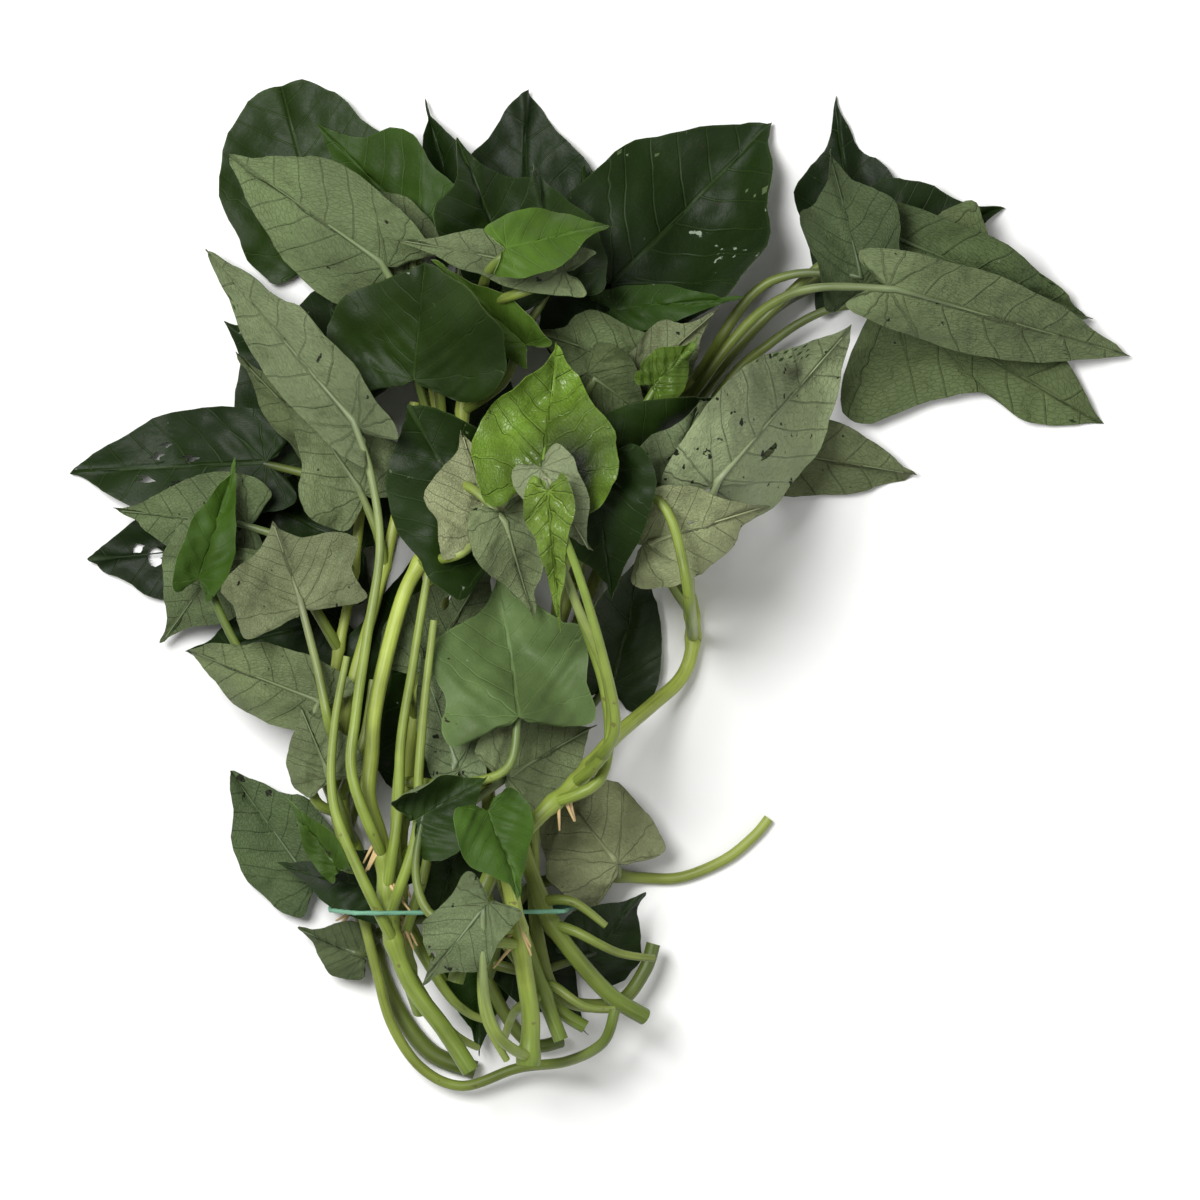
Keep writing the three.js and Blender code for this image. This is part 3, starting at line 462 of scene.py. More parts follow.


# colours of a blade's two faces: each side's own times its tone with painted light and shade, times waves
# over the leaf that are partly painted shading, and a painted shadow as a dark bell in a hollow; the fourth
# value is how speckled the skin is, below zero where it is rubbed
def bladeTint(leaf, plane):
    bell = lambda hx, hy, reach: np.exp(-((plane[:, 0] - hx) ** 2 + (plane[:, 1] - hy) ** 2) / reach**2)
    faces = [linear(c) * leaf["tone"] for c in leafLook["colours"][leaf["skin"]]]
    if leaf["skin"] == "under":
        faces.reverse()
    light = 1 + leafLook["patchesAndShade"] * waves(*(plane[:, :2] * leafLook["patchWaves"]).T, leaf["seed"])
    # painted shadow in a hollow of the blade
    if leaf["hollow"]:
        *place, depth = leaf["hollow"]
        light = light * (1 - depth * bell(*place))
    tint = np.full((2, len(plane), 4), leaf["specks"])
    tint[..., :3] = np.stack(faces)[:, None] * light[:, None]
    for scuff in leaf["scuffs"]:
        tint[0, :, 3] -= bell(*scuff)
    return tint.reshape(-1, 4)


# a blade as a closed sheet: the grid, swollen along its normal between the veins, crumpled and ruffled, then
# offset both ways by half the thickness, with a rim round the edge and the holes
def bladePart(leaf, place):
    x, y, share, edge, keep = bladeFlat(leaf)
    a, b = x * leaf["length"], y * leaf["length"]
    points = place(a, b, share, edge)
    normal = np.cross(np.gradient(points, axis=0), np.gradient(points, axis=1))
    normal[0] = normal[1].mean(0)
    normal /= np.linalg.norm(normal, axis=-1, keepdims=True) + 1e-9

    swell = leafLook["quilt"] * np.cos(2 * np.pi * veinLane(x, y))
    swell *= np.clip(share * 3, 0, 1) * (1 - share**4)
    ka, kb = leafLook["crumpleWaves"]
    crumple = leafLook["crumple"] * leaf["crumple"]
    swell += crumple * waves(a * ka, b * kb, leaf["seed"]) * np.clip(share * 2, 0, 1)
    ruffle = waves(edge * leafLook["ruffleWaves"], 0 * edge, 3 * leaf["seed"])
    swell += leafLook["ruffle"] * ruffle * share**3
    if leaf["skin"] == "young":
        ka, kb = leafLook["blisterWaves"]
        swell += leafLook["blister"] * np.sin(a * ka + leaf["seed"]) * np.sin(b * kb) * (1 - share**3)
    if leaf["skin"] == "under":
        swell = -swell
    half = between(leafLook["thick"], leafLook["thickEdge"], share**3)[..., None] / 2
    top = points + normal * (swell[..., None] + half)
    low = points + normal * (swell[..., None] - half)
    low[..., 2] = np.maximum(low[..., 2], 0)
    top[..., 2] = np.maximum(top[..., 2], 2 * half[..., 0])

    count = 1 + (len(a) - 1) * a.shape[1]
    ids = np.zeros(a.shape, int)
    ids[1:] = np.arange(1, count).reshape(len(a) - 1, -1)
    p, q, r, s = ids[:-1, :-1], ids[:-1, 1:], ids[1:, 1:], ids[1:, :-1]
    field = np.pad(keep, 1)
    rim = []
    for u, v, beside in ((p, s, field[1:-1, :-2]), (s, r, field[2:, 1:-1]), (r, q, field[1:-1, 2:]),
                         (q, p, field[:-2, 1:-1])):
        bare = keep & ~beside & (u != v)
        rim.append(np.stack([v[bare], u[bare], u[bare] + count, v[bare] + count], -1))
    rim = np.concatenate(rim)
    sheet = np.stack([p, s, r, q], -1)[1:][keep[1:]]
    heart = np.stack([p, s, r], -1)[0][keep[0]]

    flat = lambda g: np.concatenate([g[0, :1], g[1:].reshape(-1, *g.shape[2:])])
    plane = flat(np.stack([x, y, share], -1))
    face, back = {"under": (1, 0), "young": (2, 1)}.get(leaf["skin"], (0, 1))  # upper side, underside, young
    return dict(
        co=np.concatenate([flat(top), flat(low)]),
        plane=np.concatenate([plane, plane]), tint=bladeTint(leaf, plane),
        quads=np.concatenate([sheet, sheet[:, ::-1] + count, rim]),
        tris=np.concatenate([heart, heart[:, ::-1] + count]),
        quadMat=np.repeat([face, back, face], [len(sheet), len(sheet), len(rim)]),
        triMat=np.repeat([face, back], len(heart)),
    )


stemLook = dict(
    sides=14, stalkSides=10, capShare=0.8,  # the last: share of a cut end that is flat
    joint=0.3, jointLength=3.2,  # swelling at a leaf joint: share of the radius, mm
    root=(100, 119, 43), tip=(172, 186, 84),  # sRGB along a stem
    stalkRoot=(124, 142, 55), stalkTip=(128, 142, 70),
    cut=(150, 156, 92),
    deepShade=0.5,  # painted shade: how dark the stems of the lowest shoot are
    spread=0.1,
)


# a round profile carried along a path, level sideways, closed by two flat ends in the colour of a cut
def tubePart(path, radius, sides, tint, cut=None):
    along = np.gradient(path, axis=0)
    along /= np.linalg.norm(along, axis=1, keepdims=True)
    side = np.stack([along[:, 1], -along[:, 0], 0 * along[:, 0]], -1)
    side /= np.linalg.norm(side, axis=1, keepdims=True) + 1e-9
    up = np.cross(side, along)
    turn = (np.arange(sides) + 0.5) / sides * 2 * np.pi - np.pi / 2
    ringOut = np.cos(turn)[:, None] * side[:, None] + np.sin(turn)[:, None] * up[:, None]
    skin = path[:, None] + radius[:, None, None] * ringOut
    ends = np.stack([path[k] + stemLook["capShare"] * radius[k] * ringOut[k] for k in (0, -1)])
    for part in (skin, ends):
        part[..., 2] = np.maximum(part[..., 2], 0)
    n = len(path) * sides
    ids = np.arange(n).reshape(-1, sides)
    nextId = np.roll(ids, -1, axis=1)
    quads = [np.stack([ids[:-1], ids[1:], nextId[1:], nextId[:-1]], -1).reshape(-1, 4)]
    tris = []
    for k, ring in enumerate((ids[0], ids[-1])):
        inner = n + k * sides + np.arange(sides)
        middle = np.full(sides, n + 2 * sides + k)
        cap = np.stack([ring, np.roll(ring, -1), np.roll(inner, -1), inner], -1)
        fan = np.stack([inner, np.roll(inner, -1), middle], -1)
        quads.append(cap if k == 0 else cap[:, ::-1])
        tris.append(fan if k == 0 else fan[:, ::-1])
    plane = np.stack(np.broadcast_arrays(runOf(path)[:, None], turn, 1.0), -1).reshape(-1, 3)
    capPlane = np.zeros((2 * sides + 2, 3))
    skinTint = np.repeat(np.broadcast_to(tint, (len(path), 3)), sides, axis=0)
    capTint = np.tile(skinTint[-1] if cut is None else cut, (2 * sides + 2, 1))
    colour = np.concatenate([skinTint, capTint])
    quads, tris = np.concatenate(quads), np.concatenate(tris)
    return dict(
        co=np.concatenate([skin.reshape(-1, 3), *ends, path[[0, -1]]]), quads=quads, tris=tris,
        tint=np.column_stack([colour, np.ones(len(colour))]), plane=np.concatenate([plane, capPlane]),
        quadMat=np.zeros(len(quads), int), triMat=np.zeros(len(tris), int),
    )


# a new object, linked to the scene
def addObject(name, data):
    item = bpy.data.objects.new(name, data)
    bpy.context.scene.collection.objects.link(item)
    return item


sharpFrom = 55  # degrees between faces


# parts in mm to one piece in metres on the frame, with its colours and flat places as point attributes
def makePiece(name, node, parts, materials):
    starts = np.cumsum([0] + [len(p["co"]) for p in parts])
    faces, mats = [], []
    for part, start in zip(parts, starts):
        faces += (part["quads"] + start).tolist() + (part["tris"] + start).tolist()
        mats += [part["quadMat"], part["triMat"]]
    mesh = bpy.data.meshes.new(name)
    mesh.from_pydata(np.concatenate([p["co"] for p in parts]) * 0.001, [], faces)
    for key, kind, field in (("tint", "FLOAT_COLOR", "color"), ("plane", "FLOAT_VECTOR", "vector")):
        values = np.concatenate([p[key] for p in parts]).astype(np.float32).ravel()
        mesh.attributes.new(key, kind, "POINT").data.foreach_set(field, values)
    for material in materials:
        mesh.materials.append(material)
    mesh.polygons.foreach_set("material_index", np.concatenate(mats).astype(np.int32))
    mesh.polygons.foreach_set("use_smooth", np.ones(len(faces), bool))
    mesh.set_sharp_from_angle(angle=np.radians(sharpFrom))
    mesh.update()
    piece = addObject(name, mesh)
    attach(piece, "root")
    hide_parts(node)


# a material with its node tree and its one shader
def newMaterial(name):
    material = bpy.data.materials.new(name)
    material.use_nodes = True
    tree = material.node_tree
    return material, tree, tree.nodes["Principled BSDF"]


# a new node with its settings, and its inputs linked to sockets or set to values
def addNode(tree, kind, values=(), **settings):
    node = tree.nodes.new(kind)
    for key, value in settings.items():
        setattr(node, key, value)
    for key, value in dict(values).items():
        if isinstance(value, bpy.types.NodeSocket):
            tree.links.new(value, node.inputs[key])
        else:
            node.inputs[key].default_value = value
    return node


# one sum on numbers
def calc(tree, operation, *values):
    return addNode(tree, "ShaderNodeMath", enumerate(values), operation=operation).outputs[0]


# plus, minus and times on the sockets of one tree
def sums(tree):
    return [partial(calc, tree, kind) for kind in ("ADD", "SUBTRACT", "MULTIPLY")]


# the same sums on all parts of a colour
def colourCalc(tree, operation, first, second):
    return addNode(tree, "ShaderNodeVectorMath", {0: first, 1: second}, operation=operation).outputs[0]


# eases from one value to another while the input goes from low to high
def ease(tree, value, low, high, start, end):
    values = {"Value": value, "From Min": low, "From Max": high, "To Min": start, "To Max": end}
    return addNode(tree, "ShaderNodeMapRange", values, interpolation_type="SMOOTHSTEP").outputs[0]


# from the first colour to the second, by a factor
def blendColour(tree, factor, first, second):
    return addNode(tree, "ShaderNodeMix", {0: factor, 6: first, 7: second}, data_type="RGBA").outputs[2]


# uneven values about a half
def noise(tree, vector, scale, detail):
    values = {"Vector": vector, "Scale": scale, "Detail": detail}
    return addNode(tree, "ShaderNodeTexNoise", values).outputs[0]


# slope of a height in metres, over the slope of another one
def bumpOf(tree, strength, depth, height, below=None):
    values = {"Strength": strength, "Distance": depth, "Height": height}
    if below:
        values["Normal"] = below
    return addNode(tree, "ShaderNodeBump", values).outputs[0]


# what a skin starts from: flat place, colour, how speckled, place on the object
def skinInputs(tree):
    plane = addNode(tree, "ShaderNodeAttribute", attribute_name="plane").outputs["Vector"]
    tint = addNode(tree, "ShaderNodeAttribute", attribute_name="tint").outputs
    return plane, tint["Color"], tint["Alpha"], addNode(tree, "ShaderNodeTexCoord").outputs["Object"]


# a skin into its shader; it is as rough as its look says plus a share of its clouds
def finishSkin(tree, shader, look, colour, cloud, normal):
    plus, _, times = sums(tree)
    rough = plus(times(cloud, look["roughSpan"]), look["rough"])
    for socket, value in (("Base Color", colour), ("Roughness", rough), ("Normal", normal)):
        tree.links.new(value, shader.inputs[socket])
    shader.inputs["Specular IOR Level"].default_value = look["gloss"]


# what all leaf skins share
skinLook = dict(
    laneScale=1.8, laneBend=0.4,  # unevenness of the side veins
    palmScale=4.0, palmBend=0.3, palmStep=0.62,  # veins that fan out from the stalk, radians apart
    palmEnd=(0.02, 0.07),  # leaf lengths over which they give way to side veins
    rib=(0.006, 0.018), ribThin=0.006,  # half width of the midrib, hard and soft, and how it thins
    sideShare=0.8,  # side veins against the midrib
    besideWide=3.0, besideScale=7.0, beside=(0.4, 0.65),  # painted shade beside some stretches of a vein; a painted highlight where its strength is below zero
    rimFrom=0.985,  # edge of the blade
    netScale=26.0, netSoft=0.09,  # finest veins
    cloudScale=55.0, grainScale=900.0, grainMix=0.24, grainRise=0.12,
    speckScale=210.0, speckGain=0.12, speckFrom=(0.72, 0.745),
    scuffScale=260.0, scuffGain=-0.2, scuffFrom=(0.73, 0.8), scuffMix=0.8,
    creaseScale=42.0, fineScale=150.0,
    creaseDepth=0.008, veinDepth=0.001,  # metres
)


# leaf skin from the flat place: side veins where the lane counter is near a half, palm veins where the angle
# from the stalk is, a midrib, the edges of a cell pattern as the finest net, mottling, painted shade beside
# stretches of the veins, specks and scuffs
def leafMaterial(name, look):
    look = {**skinLook, **look}
    material, tree, shader = newMaterial(name)
    plus, minus, times = sums(tree)
    plane, tint, speckShare, where = skinInputs(tree)
    x, y, share = addNode(tree, "ShaderNodeSeparateXYZ", {0: plane}).outputs
    w = calc(tree, "ABSOLUTE", y)
    offHalf = lambda counter: calc(tree, "ABSOLUTE", minus(calc(tree, "FRACT", counter), 0.5))

    start = minus(x, times(w, leafLook["veinLean"]))
    start = minus(start, times(times(w, w), leafLook["veinCurve"]))
    lane = calc(tree, "DIVIDE", start, leafLook["veinStep"])
    lane = plus(lane, times(calc(tree, "GREATER_THAN", y, 0.0), 0.5))
    lane = plus(lane, times(noise(tree, plane, look["laneScale"], 1.0), look["laneBend"]))
    off = times(offHalf(plus(lane, 20.0)), leafLook["veinStep"])  # 20 keeps the counter above zero
    sideVein = ease(tree, off, look["thin"], look["soft"], 1.0, 0.0)
    veinShadeBand = ease(tree, off, look["soft"], look["besideWide"] * look["soft"], 1.0, 0.0)
    upper = ease(tree, start, *look["palmEnd"], 0.0, 1.0)
    bend = times(noise(tree, plane, look["palmScale"], 1.0), look["palmBend"])
    angle = calc(tree, "DIVIDE", plus(calc(tree, "ARCTAN2", w, x), bend), look["palmStep"])
    far = calc(tree, "SQRT", plus(times(x, x), times(w, w)))
    off = times(times(offHalf(angle), look["palmStep"]), far)
    palmVein = ease(tree, off, look["thin"], look["soft"], 1.0, 0.0)
    sides = plus(times(sideVein, upper), times(palmVein, minus(1.0, upper)))
    rib = ease(tree, plus(w, times(x, look["ribThin"])), *look["rib"], 1.0, 0.0)
    veins = calc(tree, "MAXIMUM", times(sides, look["sideShare"]), rib)
    stretch = ease(tree, noise(tree, plane, look["besideScale"], 2.0), *look["beside"], 0.0, 1.0)
    beside = times(times(times(veinShadeBand, upper), minus(1.0, veins)), stretch)
    rim = times(calc(tree, "GREATER_THAN", share, look["rimFrom"]), look["rimMix"])
    net = addNode(tree, "ShaderNodeTexVoronoi", {"Vector": plane, "Scale": look["netScale"]},
                  feature="DISTANCE_TO_EDGE").outputs[0]
    net = ease(tree, net, 0.0, look["netSoft"], 1.0, 0.0)
    cloud = noise(tree, where, look["cloudScale"], 5.0)
    grain = noise(tree, where, look["grainScale"], 2.0)

    lit = plus(times(cloud, look["mottle"]), 1.0 - look["mottle"] * 0.5)
    lit = times(lit, plus(times(grain, look["grainMix"]), 1.0 - look["grainMix"] * 0.5))
    # painted shade beside the veins, darker on the upper and young skins, a painted highlight on the
    # underside
    lit = times(lit, minus(1.0, times(beside, look["besideShade"])))
    colour = colourCalc(tree, "MULTIPLY", tint, lit)
    veinTint = colourCalc(tree, "MULTIPLY", tint, (look["veinGain"],) * 3)
    veinTint = colourCalc(tree, "ADD", veinTint, look["veinAdd"])
    colour = blendColour(tree, times(net, look["netMix"]), colour, veinTint)
    drawn = calc(tree, "MAXIMUM", times(veins, look["veinMix"]), rim)
    colour = blendColour(tree, drawn, colour, veinTint)
    spot = plus(noise(tree, where, look["speckScale"], 3.0), times(speckShare, look["speckGain"]))
    spot = ease(tree, spot, *look["speckFrom"], 0.0, 1.0)
    colour = blendColour(tree, spot, colour, (*look["speck"], 1.0))
    rubbed = plus(noise(tree, where, look["scuffScale"], 3.0), times(speckShare, look["scuffGain"]))
    rubbed = ease(tree, rubbed, *look["scuffFrom"], 0.0, look["scuffMix"])
    colour = blendColour(tree, rubbed, colour, (*look["scuff"], 1.0))

    height = plus(times(veins, look["veinRise"]), times(net, look["netRise"]))
    height = plus(height, times(grain, look["grainRise"]))
    fine = times(noise(tree, where, look["fineScale"], 3.0), look["fine"])
    creases = plus(noise(tree, where, look["creaseScale"], 2.0), fine)
    broad = bumpOf(tree, look["crease"], look["creaseDepth"], creases)
    bump = bumpOf(tree, look["bump"], look["veinDepth"], height, broad)
    finishSkin(tree, shader, look, colour, cloud, bump)
    return material


upperSkin = leafMaterial("leafUpper", dict(
    thin=0.0022, soft=0.0075, veinGain=1.5, veinAdd=(0.012, 0.018, 0.005), veinMix=0.45, netMix=0.07,
    mottle=0.45, besideShade=0.2, rimMix=0.3, speck=(0.02, 0.018, 0.008), scuff=(0.3, 0.36, 0.27),
    rough=0.42, roughSpan=0.15, gloss=0.16, veinRise=-0.8, netRise=-0.05, bump=0.45, crease=0.42, fine=0.1,
))
# on the underside the veins and finest net are drawn darker than the blade: painted shadow of raised veins
underSkin = leafMaterial("leafUnder", dict(
    thin=0.0022, soft=0.0065, veinGain=0.5, veinAdd=(0.004, 0.006, 0.0), veinMix=0.7, netMix=0.1,
    mottle=0.45, besideShade=-0.12, rimMix=0.1, speck=(0.012, 0.014, 0.006), scuff=(0.3, 0.34, 0.24),
    rough=0.6, roughSpan=0.2, gloss=0.2, veinRise=1.0, netRise=0.25, bump=0.7, crease=0.75, fine=0.3,
))
youngSkin = leafMaterial("leafYoung", dict(
    thin=0.004, soft=0.012, veinGain=1.25, veinAdd=(0.02, 0.03, 0.006), veinMix=0.6, netMix=0.1,
    mottle=0.9, besideShade=0.35, rimMix=0.4, speck=(0.03, 0.025, 0.008), scuff=(0.3, 0.36, 0.2),
    rough=0.26, roughSpan=0.22, gloss=0.4, veinRise=-1.0, netRise=-0.15, bump=0.9, crease=1.0, fine=0.16,
))


# stem skin: noise drawn out along the stem as streaks, plus clouds; brown scars where a finer noise peaks
def stemMaterial(name, look):
    material, tree, shader = newMaterial(name)
    plus, _, times = sums(tree)
    plane, tint, _, where = skinInputs(tree)
    drawn = addNode(tree, "ShaderNodeMapping", {"Vector": plane, "Scale": look["streak"]}).outputs[0]
    streak = noise(tree, drawn, 1.0, 3.0)
    cloud = noise(tree, where, look["cloudScale"], 4.0)
    lit = plus(plus(times(streak, look["streakMix"]), times(cloud, look["cloudMix"])), look["least"])
    colour = colourCalc(tree, "MULTIPLY", tint, lit)
    scar = ease(tree, noise(tree, where, look["scarScale"], 2.0), *look["scarFrom"], 0.0, look["scarMix"])
    colour = blendColour(tree, scar, colour, (*look["scar"], 1.0))
    bump = bumpOf(tree, look["bump"], look["depth"], streak)
    finishSkin(tree, shader, look, colour, cloud, bump)
    return material


stemSkinLook = dict(
    streak=(0.05, 3.0, 1.0), streakMix=0.9, cloudScale=70.0, cloudMix=1.0, least=0.05,
    scarScale=260.0, scarFrom=(0.7, 0.74), scarMix=0.6, scar=(0.09, 0.06, 0.025),
    rough=0.32, roughSpan=0.25, gloss=0.4, bump=0.35, depth=0.0004,
)
stringSkinLook = dict(
    stemSkinLook, streak=(2.4, 2.0, 1.0), scarFrom=(0.8, 0.84), scar=(0.2, 0.35, 0.28), rough=0.55,
)
stemSkin = stemMaterial("stemSkin", stemSkinLook)
stringSkin = stemMaterial("stringFibre", stringSkinLook)
print("materials ready")


# stem along its spline: bed height made stiff plus its radius, swollen by a bell round each leaf joint
def layStem(shoot):
    share = np.linspace(0, 1, (len(shoot["stem"]) - 1) * lay["stemSteps"] + 1)
    flat = spline(shoot["stem"], share)
    radius = between(*shoot["dia"], share) / 2
    low = stiffen(bedAt(bedOver(lay["tubeReach"]), *flat.T), lay["stemReach"])
    path = np.column_stack([flat, low + radius * np.cos(np.pi / lay["stemSides"])])
    raiseTube(path, radius)
    run = runOf(path)
    joints = [leaf["node"] for leaf in shoot["leaves"]] + [spur[0] for spur in shoot.get("spurs", [])]
    at = run[[round(j * (len(path) - 1)) for j in joints]]
    swell = np.exp(-(((run[:, None] - at) / stemLook["jointLength"]) ** 2)).max(1)
    return path, radius, radius * (1 + stemLook["joint"] * swell)


# the point of a stem's path nearest to a share of its points
def jointOf(path, node):
    return path[int(np.floor(node * (len(path) - 1) + 0.5))]


# stalk along its spline: bed height made stiff, eased out of the stem at one end and up to the blade at the
# other, both with the square of the way
def layStalk(bends, rootZ, bladeZ):
    length = runOf(spline(bends, np.linspace(0, 1, lay["stalkMeasure"])))[-1]
    spans = max(lay["stalkLeast"], int(np.ceil(length / lay["stalkRun"])))
    share = np.linspace(0, 1, spans * lay["stalkSteps"] + 1)
    flat = spline(bends, share)
    radius = between(lay["stalkRoot"], lay["stalkTip"], share) / 2
    low = stiffen(bedAt(bedOver(lay["tubeReach"]), *flat.T), lay["stalkReach"]) + radius
    drop = rootZ - low[0]
    climb = 0 if bladeZ is None else bladeZ - low[-1]
    fade = np.maximum(0, 1 - runOf(flat) / min(lay["stalkFade"], lay["fadeMost"] * length))
    path = np.column_stack([flat, low + drop * fade**2 + climb * share**2])
    raiseTube(path, radius)
    return path, radius, share


# colour along a stalk, straight from its root's to its tip's, times the painted shade of its shoot's layer
def stalkTint(share, layerShade):
    return between(linear(stemLook["stalkRoot"]), linear(stemLook["stalkTip"]), share[:, None]) * layerShade


# the stalk runs on as the midrib, half sunk in the underside, down to a thread at the tip
ribLook = dict(
    points=16, end=0.93,  # where it ends, in leaf lengths
    thread=0.22, taper=4,  # mm of radius at the end, power of the taper
    off=0.15, shown=0.35, hidden=0.85,  # mm off the blade, plus shares of its radius: above, below
    gain=1.15,  # brightness over its blade
    turnFrom=0.45, turnOver=0.55,  # shares of the stalk: where its colour starts to turn, over how much
)


# a leaf on the bed: shaped, lifted until its lowest point is half its thickness up, then raised by the bed
# under each point; its stalk runs from the stem into its notch
def layLeaf(stemPath, row, index, layerShade):
    leaf = dict(row)
    run = np.subtract(leaf["tip"], leaf["base"]).astype(float)
    length = np.linalg.norm(run)
    stretch = 1 / arcOf(np.radians(leaf["bend"]))[0]
    leaf.update(axis=run / length, seed=index * lay["seedStep"] + length, half=leaf["wide"] * length / 2,
                length=length * stretch, skin=leaf["skin"] or leaf["face"])

    bed = bedOver(lay["leafReach"])
    sure = shapeBlade(leaf, *bladePlane(leaf, lay["sureRings"], lay["sureSteps"]))
    lift = lay["blade"] / 2 - sure[..., 2].min()

    def settle(points, at):
        x, y, z = np.moveaxis(points, -1, 0)
        return np.stack([x, y, z + (lift + at(bed, x, y))], -1)

    soft = lambda *plane: settle(shapeBlade(leaf, *plane), softBedAt)
    rings = 3 if leaf["length"] > lay["longLeaf"] else 2 if leaf["length"] > lay["midLeaf"] else 1
    inner = np.array([0, 1 / rings])
    notch, inner = settle(shapeBlade(leaf, inner * leaf["length"], 0 * inner, inner, 0 * inner), bedAt)
    seat = notch + (inner - notch) * lay["seat"] / np.linalg.norm(inner - notch)
    root = jointOf(stemPath, leaf["node"])
    gap = np.linalg.norm(seat[:2] - root[:2])
    before = seat[:2] - lay["stalkLead"] * gap * leaf["axis"]
    bends = leaf["via"] or [between(before, root[:2], lay["stalkBend"])]
    side = lay["seatSide"] if leaf["face"] == "under" else -lay["seatSide"]
    bladeZ = seat[2] + side * lay["stalkTip"] / 2
    path, radius, share = layStalk([root[:2], *bends, seat[:2]], root[2], bladeZ)

    settled = settle(sure, bedAt)
    # painted light and shade: the row's factor times a rise from dark low in the pile to light high up, then
    # a random tone
    up = np.clip(settled[..., 2].mean() / leafLook["highAt"], 0, 1)
    tone = leaf["shade"] * between(leafLook["deepShade"], leafLook["high"], up)
    hue = leafLook["hueSpread"]
    tone = tone * (1 + leafLook["spread"] * rng.uniform(-1, 1) + rng.uniform(-hue, hue, 3))
    leaf["tone"] = np.maximum(tone, 0) ** leafLook["shadeHue"]
    raiseTo(settled[..., 0], settled[..., 1], settled[..., 2] + lay["blade"] / 2 + lay["gap"])

    ribShare = np.linspace(lay["seat"] / leaf["length"], ribLook["end"], ribLook["points"])
    rib = soft(ribShare * leaf["length"], 0 * ribShare, ribShare, 0 * ribShare)
    ribRadius = between(ribLook["thread"], lay["stalkTip"] / 2, (1 - ribShare) ** ribLook["taper"])
    shown = leaf["skin"] == "under"
    if shown:
        rib[:, 2] += ribLook["off"] + ribLook["shown"] * ribRadius
    else:
        rib[:, 2] -= ribLook["off"] + ribLook["hidden"] * ribRadius
    path[:, 2] += (rib[0, 2] - path[-1, 2]) * share**2
    path, radius = np.concatenate([path, rib[1:]]), np.concatenate([radius, ribRadius[1:]])
    path[:, 2] = np.maximum(path[:, 2], radius)
    shares = np.concatenate([share, 1 + ribShare[1:]])
    ribTint = linear(leafLook["colours"][leaf["skin"]][int(shown)]) * leaf["tone"] * ribLook["gain"]
    blend = np.clip((shares[:, None] - ribLook["turnFrom"]) / ribLook["turnOver"], 0, 1)
    tint = between(stalkTint(np.minimum(shares, 1), layerShade), ribTint, blend)
    return bladePart(leaf, soft), tubePart(path, radius, stemLook["stalkSides"], tint)


rootletLook = dict(
    length=(8.0, 14.0), width=1.6, taper=0.6, points=7, sides=6, colour=(202, 174, 124),
    rise=0.15, spread=0.3, spreadUp=0.4,  # how each leans away from its tuft
    top=0.7, out=0.2,  # where it leaves the stem, in shares of the radius
    droop=0.3,  # share of its length
    # shoot, share of its stem, which way the tuft leans, how many
    tufts=[
        ("left_mid_shoot", 0.3, (-0.7, -0.7), 3), ("front_left_shoot", 0.38, (-0.5, -0.9), 4),
        ("front_left_shoot", 0.33, (0.5, -0.9), 3), ("centre_low_shoot", 0.36, (0.2, -1.0), 3),
        ("centre_low_shoot", 0.24, (0.4, -1.0), 3), ("centre_right_shoot", 0.36, (0.3, -1.0), 3),
        ("front_low_shoot", 0.56, (-0.5, -0.8), 2), ("front_low_shoot", 0.6, (0.5, -0.8), 2),
        ("left_low_shoot", 0.36, (-0.8, -0.5), 2),
    ],
)


# rootlet: a thread from the top of the stem that runs out its length and droops with the square of the way
def rootlets(shoot, path, radius):
    parts = []
    t = np.linspace(0, 1, rootletLook["points"])
    spread = rootletLook["spread"]
    for name, share, lean, count in rootletLook["tufts"]:
        if name != shoot["name"]:
            continue
        for k in range(count):
            at = round(share * (len(path) - 1)) + (k % 3) - 1
            aim = np.array([*lean, rootletLook["rise"]])
            aim = aim + rng.uniform(-spread, spread, 3) * (1, 1, rootletLook["spreadUp"])
            aim /= np.linalg.norm(aim)
            size = rng.uniform(*rootletLook["length"])
            root = path[at] + (0, 0, rootletLook["top"] * radius[at])
            line = root + aim * (radius[at] * rootletLook["out"] + size * t[:, None])
            line[:, 2] -= rootletLook["droop"] * size * t**2
            width = rootletLook["width"] / 2 * (1 - rootletLook["taper"] * t)
            parts.append(tubePart(line, width, rootletLook["sides"], linear(rootletLook["colour"])))
    return parts


tieLook = dict(sides=12, points=400, twist=0.9, ply=0.16, colour=(110, 162, 134))


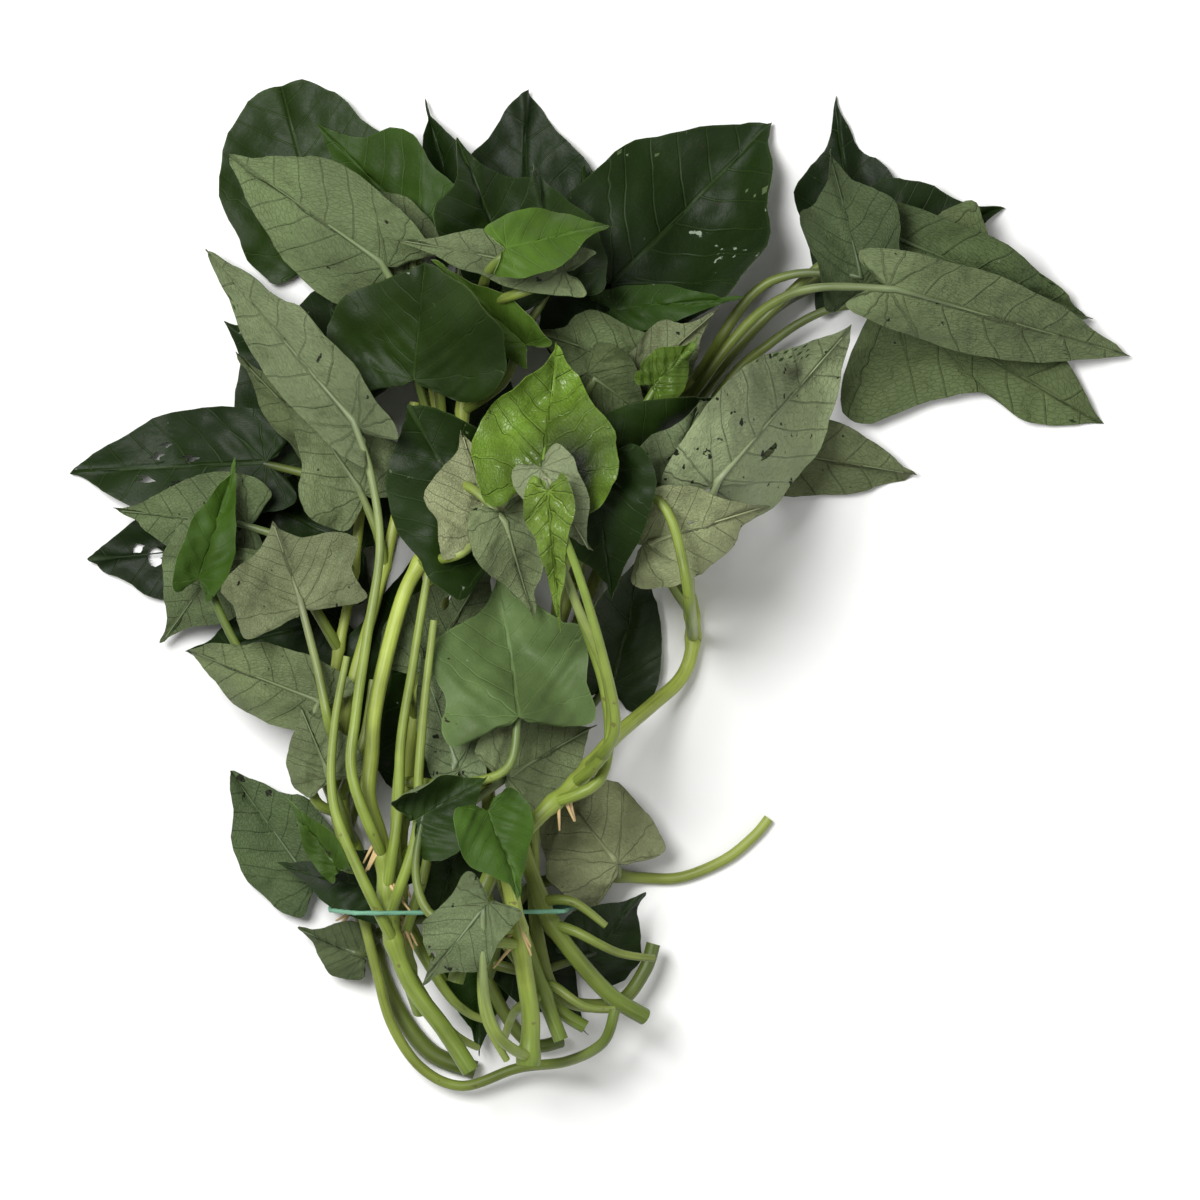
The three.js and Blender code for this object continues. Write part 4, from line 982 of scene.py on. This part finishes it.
# string: straight under the bunch and taut over the highest stems, the upper hull of their heights; two
# plies from a ring whose radius falls and rises twice round, turned along the way
def layTie():
    r, y = lay["string"] / 2, lay["tieY"]
    xs = np.arange(lay["tieLeft"] + 1, lay["tieRight"] - 0.99, lay["cell"])
    col, row = cellOf(xs, y)
    near = np.max([pile[row + j, col + i] for i in (-1, 0, 1) for j in (-1, 0, 1)], axis=0)
    hull = [(lay["tieLeft"], lay["stringRest"])]
    for p in [*zip(xs, near - lay["gap"] + r + lay["stringAir"]), (lay["tieRight"], lay["stringRest"])]:
        while len(hull) > 1:
            (ax, az), (bx, bz) = hull[-2:]
            if (bx - ax) * (p[1] - az) - (bz - az) * (p[0] - ax) < 0:
                break
            hull.pop()
        hull.append(p)
    for a, b in zip(np.array(hull[:-1]), np.array(hull[1:])):
        way = between(a, b, np.linspace(0, 1, lay["stringSteps"] + 1)[:, None])
        for dy in (-1, 0, 1):
            raiseTo(way[:, 0], np.full(len(way), y + dy * lay["cell"]), way[:, 1] + 2 * r + lay["gap"])

    inset = lay["stringTurn"]
    corners = np.array([*hull, (lay["tieRight"] - inset, r), (lay["tieLeft"] + inset, r), hull[0]])
    run = runOf(corners)
    way = np.linspace(0, run[-1], tieLook["points"] + 1)[:-1]
    line = np.column_stack([np.interp(way, run, corners[:, 0]), np.interp(way, run, corners[:, 1])])
    along = np.roll(line, -1, axis=0) - np.roll(line, 1, axis=0)
    along /= np.linalg.norm(along, axis=1, keepdims=True)
    turn = np.arange(tieLook["sides"]) / tieLook["sides"] * 2 * np.pi
    turns = round(run[-1] * tieLook["twist"] / (2 * np.pi)) * 2 * np.pi / run[-1]
    size = r * (1 - tieLook["ply"] * (0.5 + 0.5 * np.cos(2 * turn - turns * way[:, None])))
    x = line[:, :1] - along[:, 1:] * size * np.cos(turn)
    z = line[:, 1:] + along[:, :1] * size * np.cos(turn)
    co = np.stack([x, y + size * np.sin(turn), z], -1)
    ids = np.arange(co[..., 0].size).reshape(len(way), -1)
    after, beside = np.roll(ids, -1, axis=0), np.roll(ids, -1, axis=1)
    quads = np.stack([ids, after, np.roll(after, -1, axis=1), beside], -1).reshape(-1, 4)
    plane = np.stack(np.broadcast_arrays(way[:, None], turn, 1.0), -1)
    tint = np.tile([*linear(tieLook["colour"]), 1.0], (ids.size, 1))
    part = dict(co=co.reshape(-1, 3), quads=quads, tris=np.zeros((0, 3), int), tint=tint,
                plane=plane.reshape(-1, 3), quadMat=np.zeros(len(quads), int), triMat=np.zeros(0, int))
    makePiece("tie_string", "tie", [part], [stringSkin])


ridge = np.arange(lay["tieLeft"], lay["tieRight"] + 0.01, lay["cell"])  # the string's run under the stems
for dy in (-1, 0, 1):
    raiseTo(ridge, np.full(len(ridge), lay["tieY"] + dy * lay["cell"]), lay["string"] + lay["stringAir"])

cut = linear(stemLook["cut"])
for order, shoot in enumerate(shoots):
    if shoot["name"] == "centre_right_shoot":  # the last two shoots lie over the string
        layTie()
    # painted shade: the stems of shoots laid lower in the pile are darker
    layerShade = between(stemLook["deepShade"], 1, order / (len(shoots) - 1))
    layerShade = layerShade * (1 + stemLook["spread"] * rng.uniform(-1, 1))
    path, radius, swollen = layStem(shoot)
    share = np.linspace(0, 1, len(path))[:, None]
    tint = between(linear(stemLook["root"]), linear(stemLook["tip"]), share) * layerShade
    stems = [tubePart(path, swollen, stemLook["sides"], tint, cut)]
    stems += rootlets(shoot, path, radius)
    for node, *bends in shoot.get("spurs", []):
        root = jointOf(path, node)
        line, width, along = layStalk([root[:2], *bends], root[2], None)
        stems.append(tubePart(line, width, stemLook["stalkSides"], stalkTint(along, layerShade), cut))
    leaves = []
    for index, row in enumerate(shoot["leaves"]):
        blade, stalk = layLeaf(path, row, index, layerShade)
        leaves.append(blade)
        stems.append(stalk)
    makePiece(shoot["name"] + "_leaves", shoot["name"], leaves, [upperSkin, underSkin, youngSkin])
    makePiece(shoot["name"] + "_stems", shoot["name"], stems, [stemSkin])


# floor, light and camera, metres
stageLook = dict(
    floor=(0.86, 0.86, 0.85), floorRough=0.8, floorHalf=6.0, floorDrop=0.0004,
    world=(1.0, 1.0, 0.97), worldStrength=0.29,
    cameraHeight=3.04, lens=270, lookAt=(0.0, -0.0033),
    # name, place, watts, size
    lights=[("key", (-0.7, 0.5, 1.7), 44, 0.8), ("fill", (1.2, -0.7, 1.4), 8, 1.4)],
)
side, drop = stageLook["floorHalf"], -stageLook["floorDrop"]
floorMesh = bpy.data.meshes.new("floor")
floorMesh.from_pydata([(-side, -side, drop), (side, -side, drop), (side, side, drop), (-side, side, drop)],
                      [], [(0, 1, 2, 3)])
floor = addObject("floor", floorMesh)
floorSkin, _, floorShader = newMaterial("floorPaper")
floorShader.inputs["Base Color"].default_value = (*stageLook["floor"], 1.0)
floorShader.inputs["Roughness"].default_value = stageLook["floorRough"]
floorMesh.materials.append(floorSkin)

world = bpy.data.worlds.new("studio")
bpy.context.scene.world = world
world.use_nodes = True
world.node_tree.nodes["Background"].inputs["Color"].default_value = (*stageLook["world"], 1.0)
world.node_tree.nodes["Background"].inputs["Strength"].default_value = stageLook["worldStrength"]
for name, place, watts, size in stageLook["lights"]:
    lamp = bpy.data.lights.new(name, "AREA")
    lamp.energy, lamp.size = watts, size
    light = addObject(name, lamp)
    light.location = place
    light.rotation_euler = Vector(place).to_track_quat("Z", "Y").to_euler()

cameraData = bpy.data.cameras.new("camera")
cameraData.lens = stageLook["lens"]
camera = addObject("camera", cameraData)
camera.location = (*stageLook["lookAt"], stageLook["cameraHeight"])
bpy.context.scene.camera = camera
bpy.context.scene.view_settings.view_transform = "Standard"
print("stage ready")
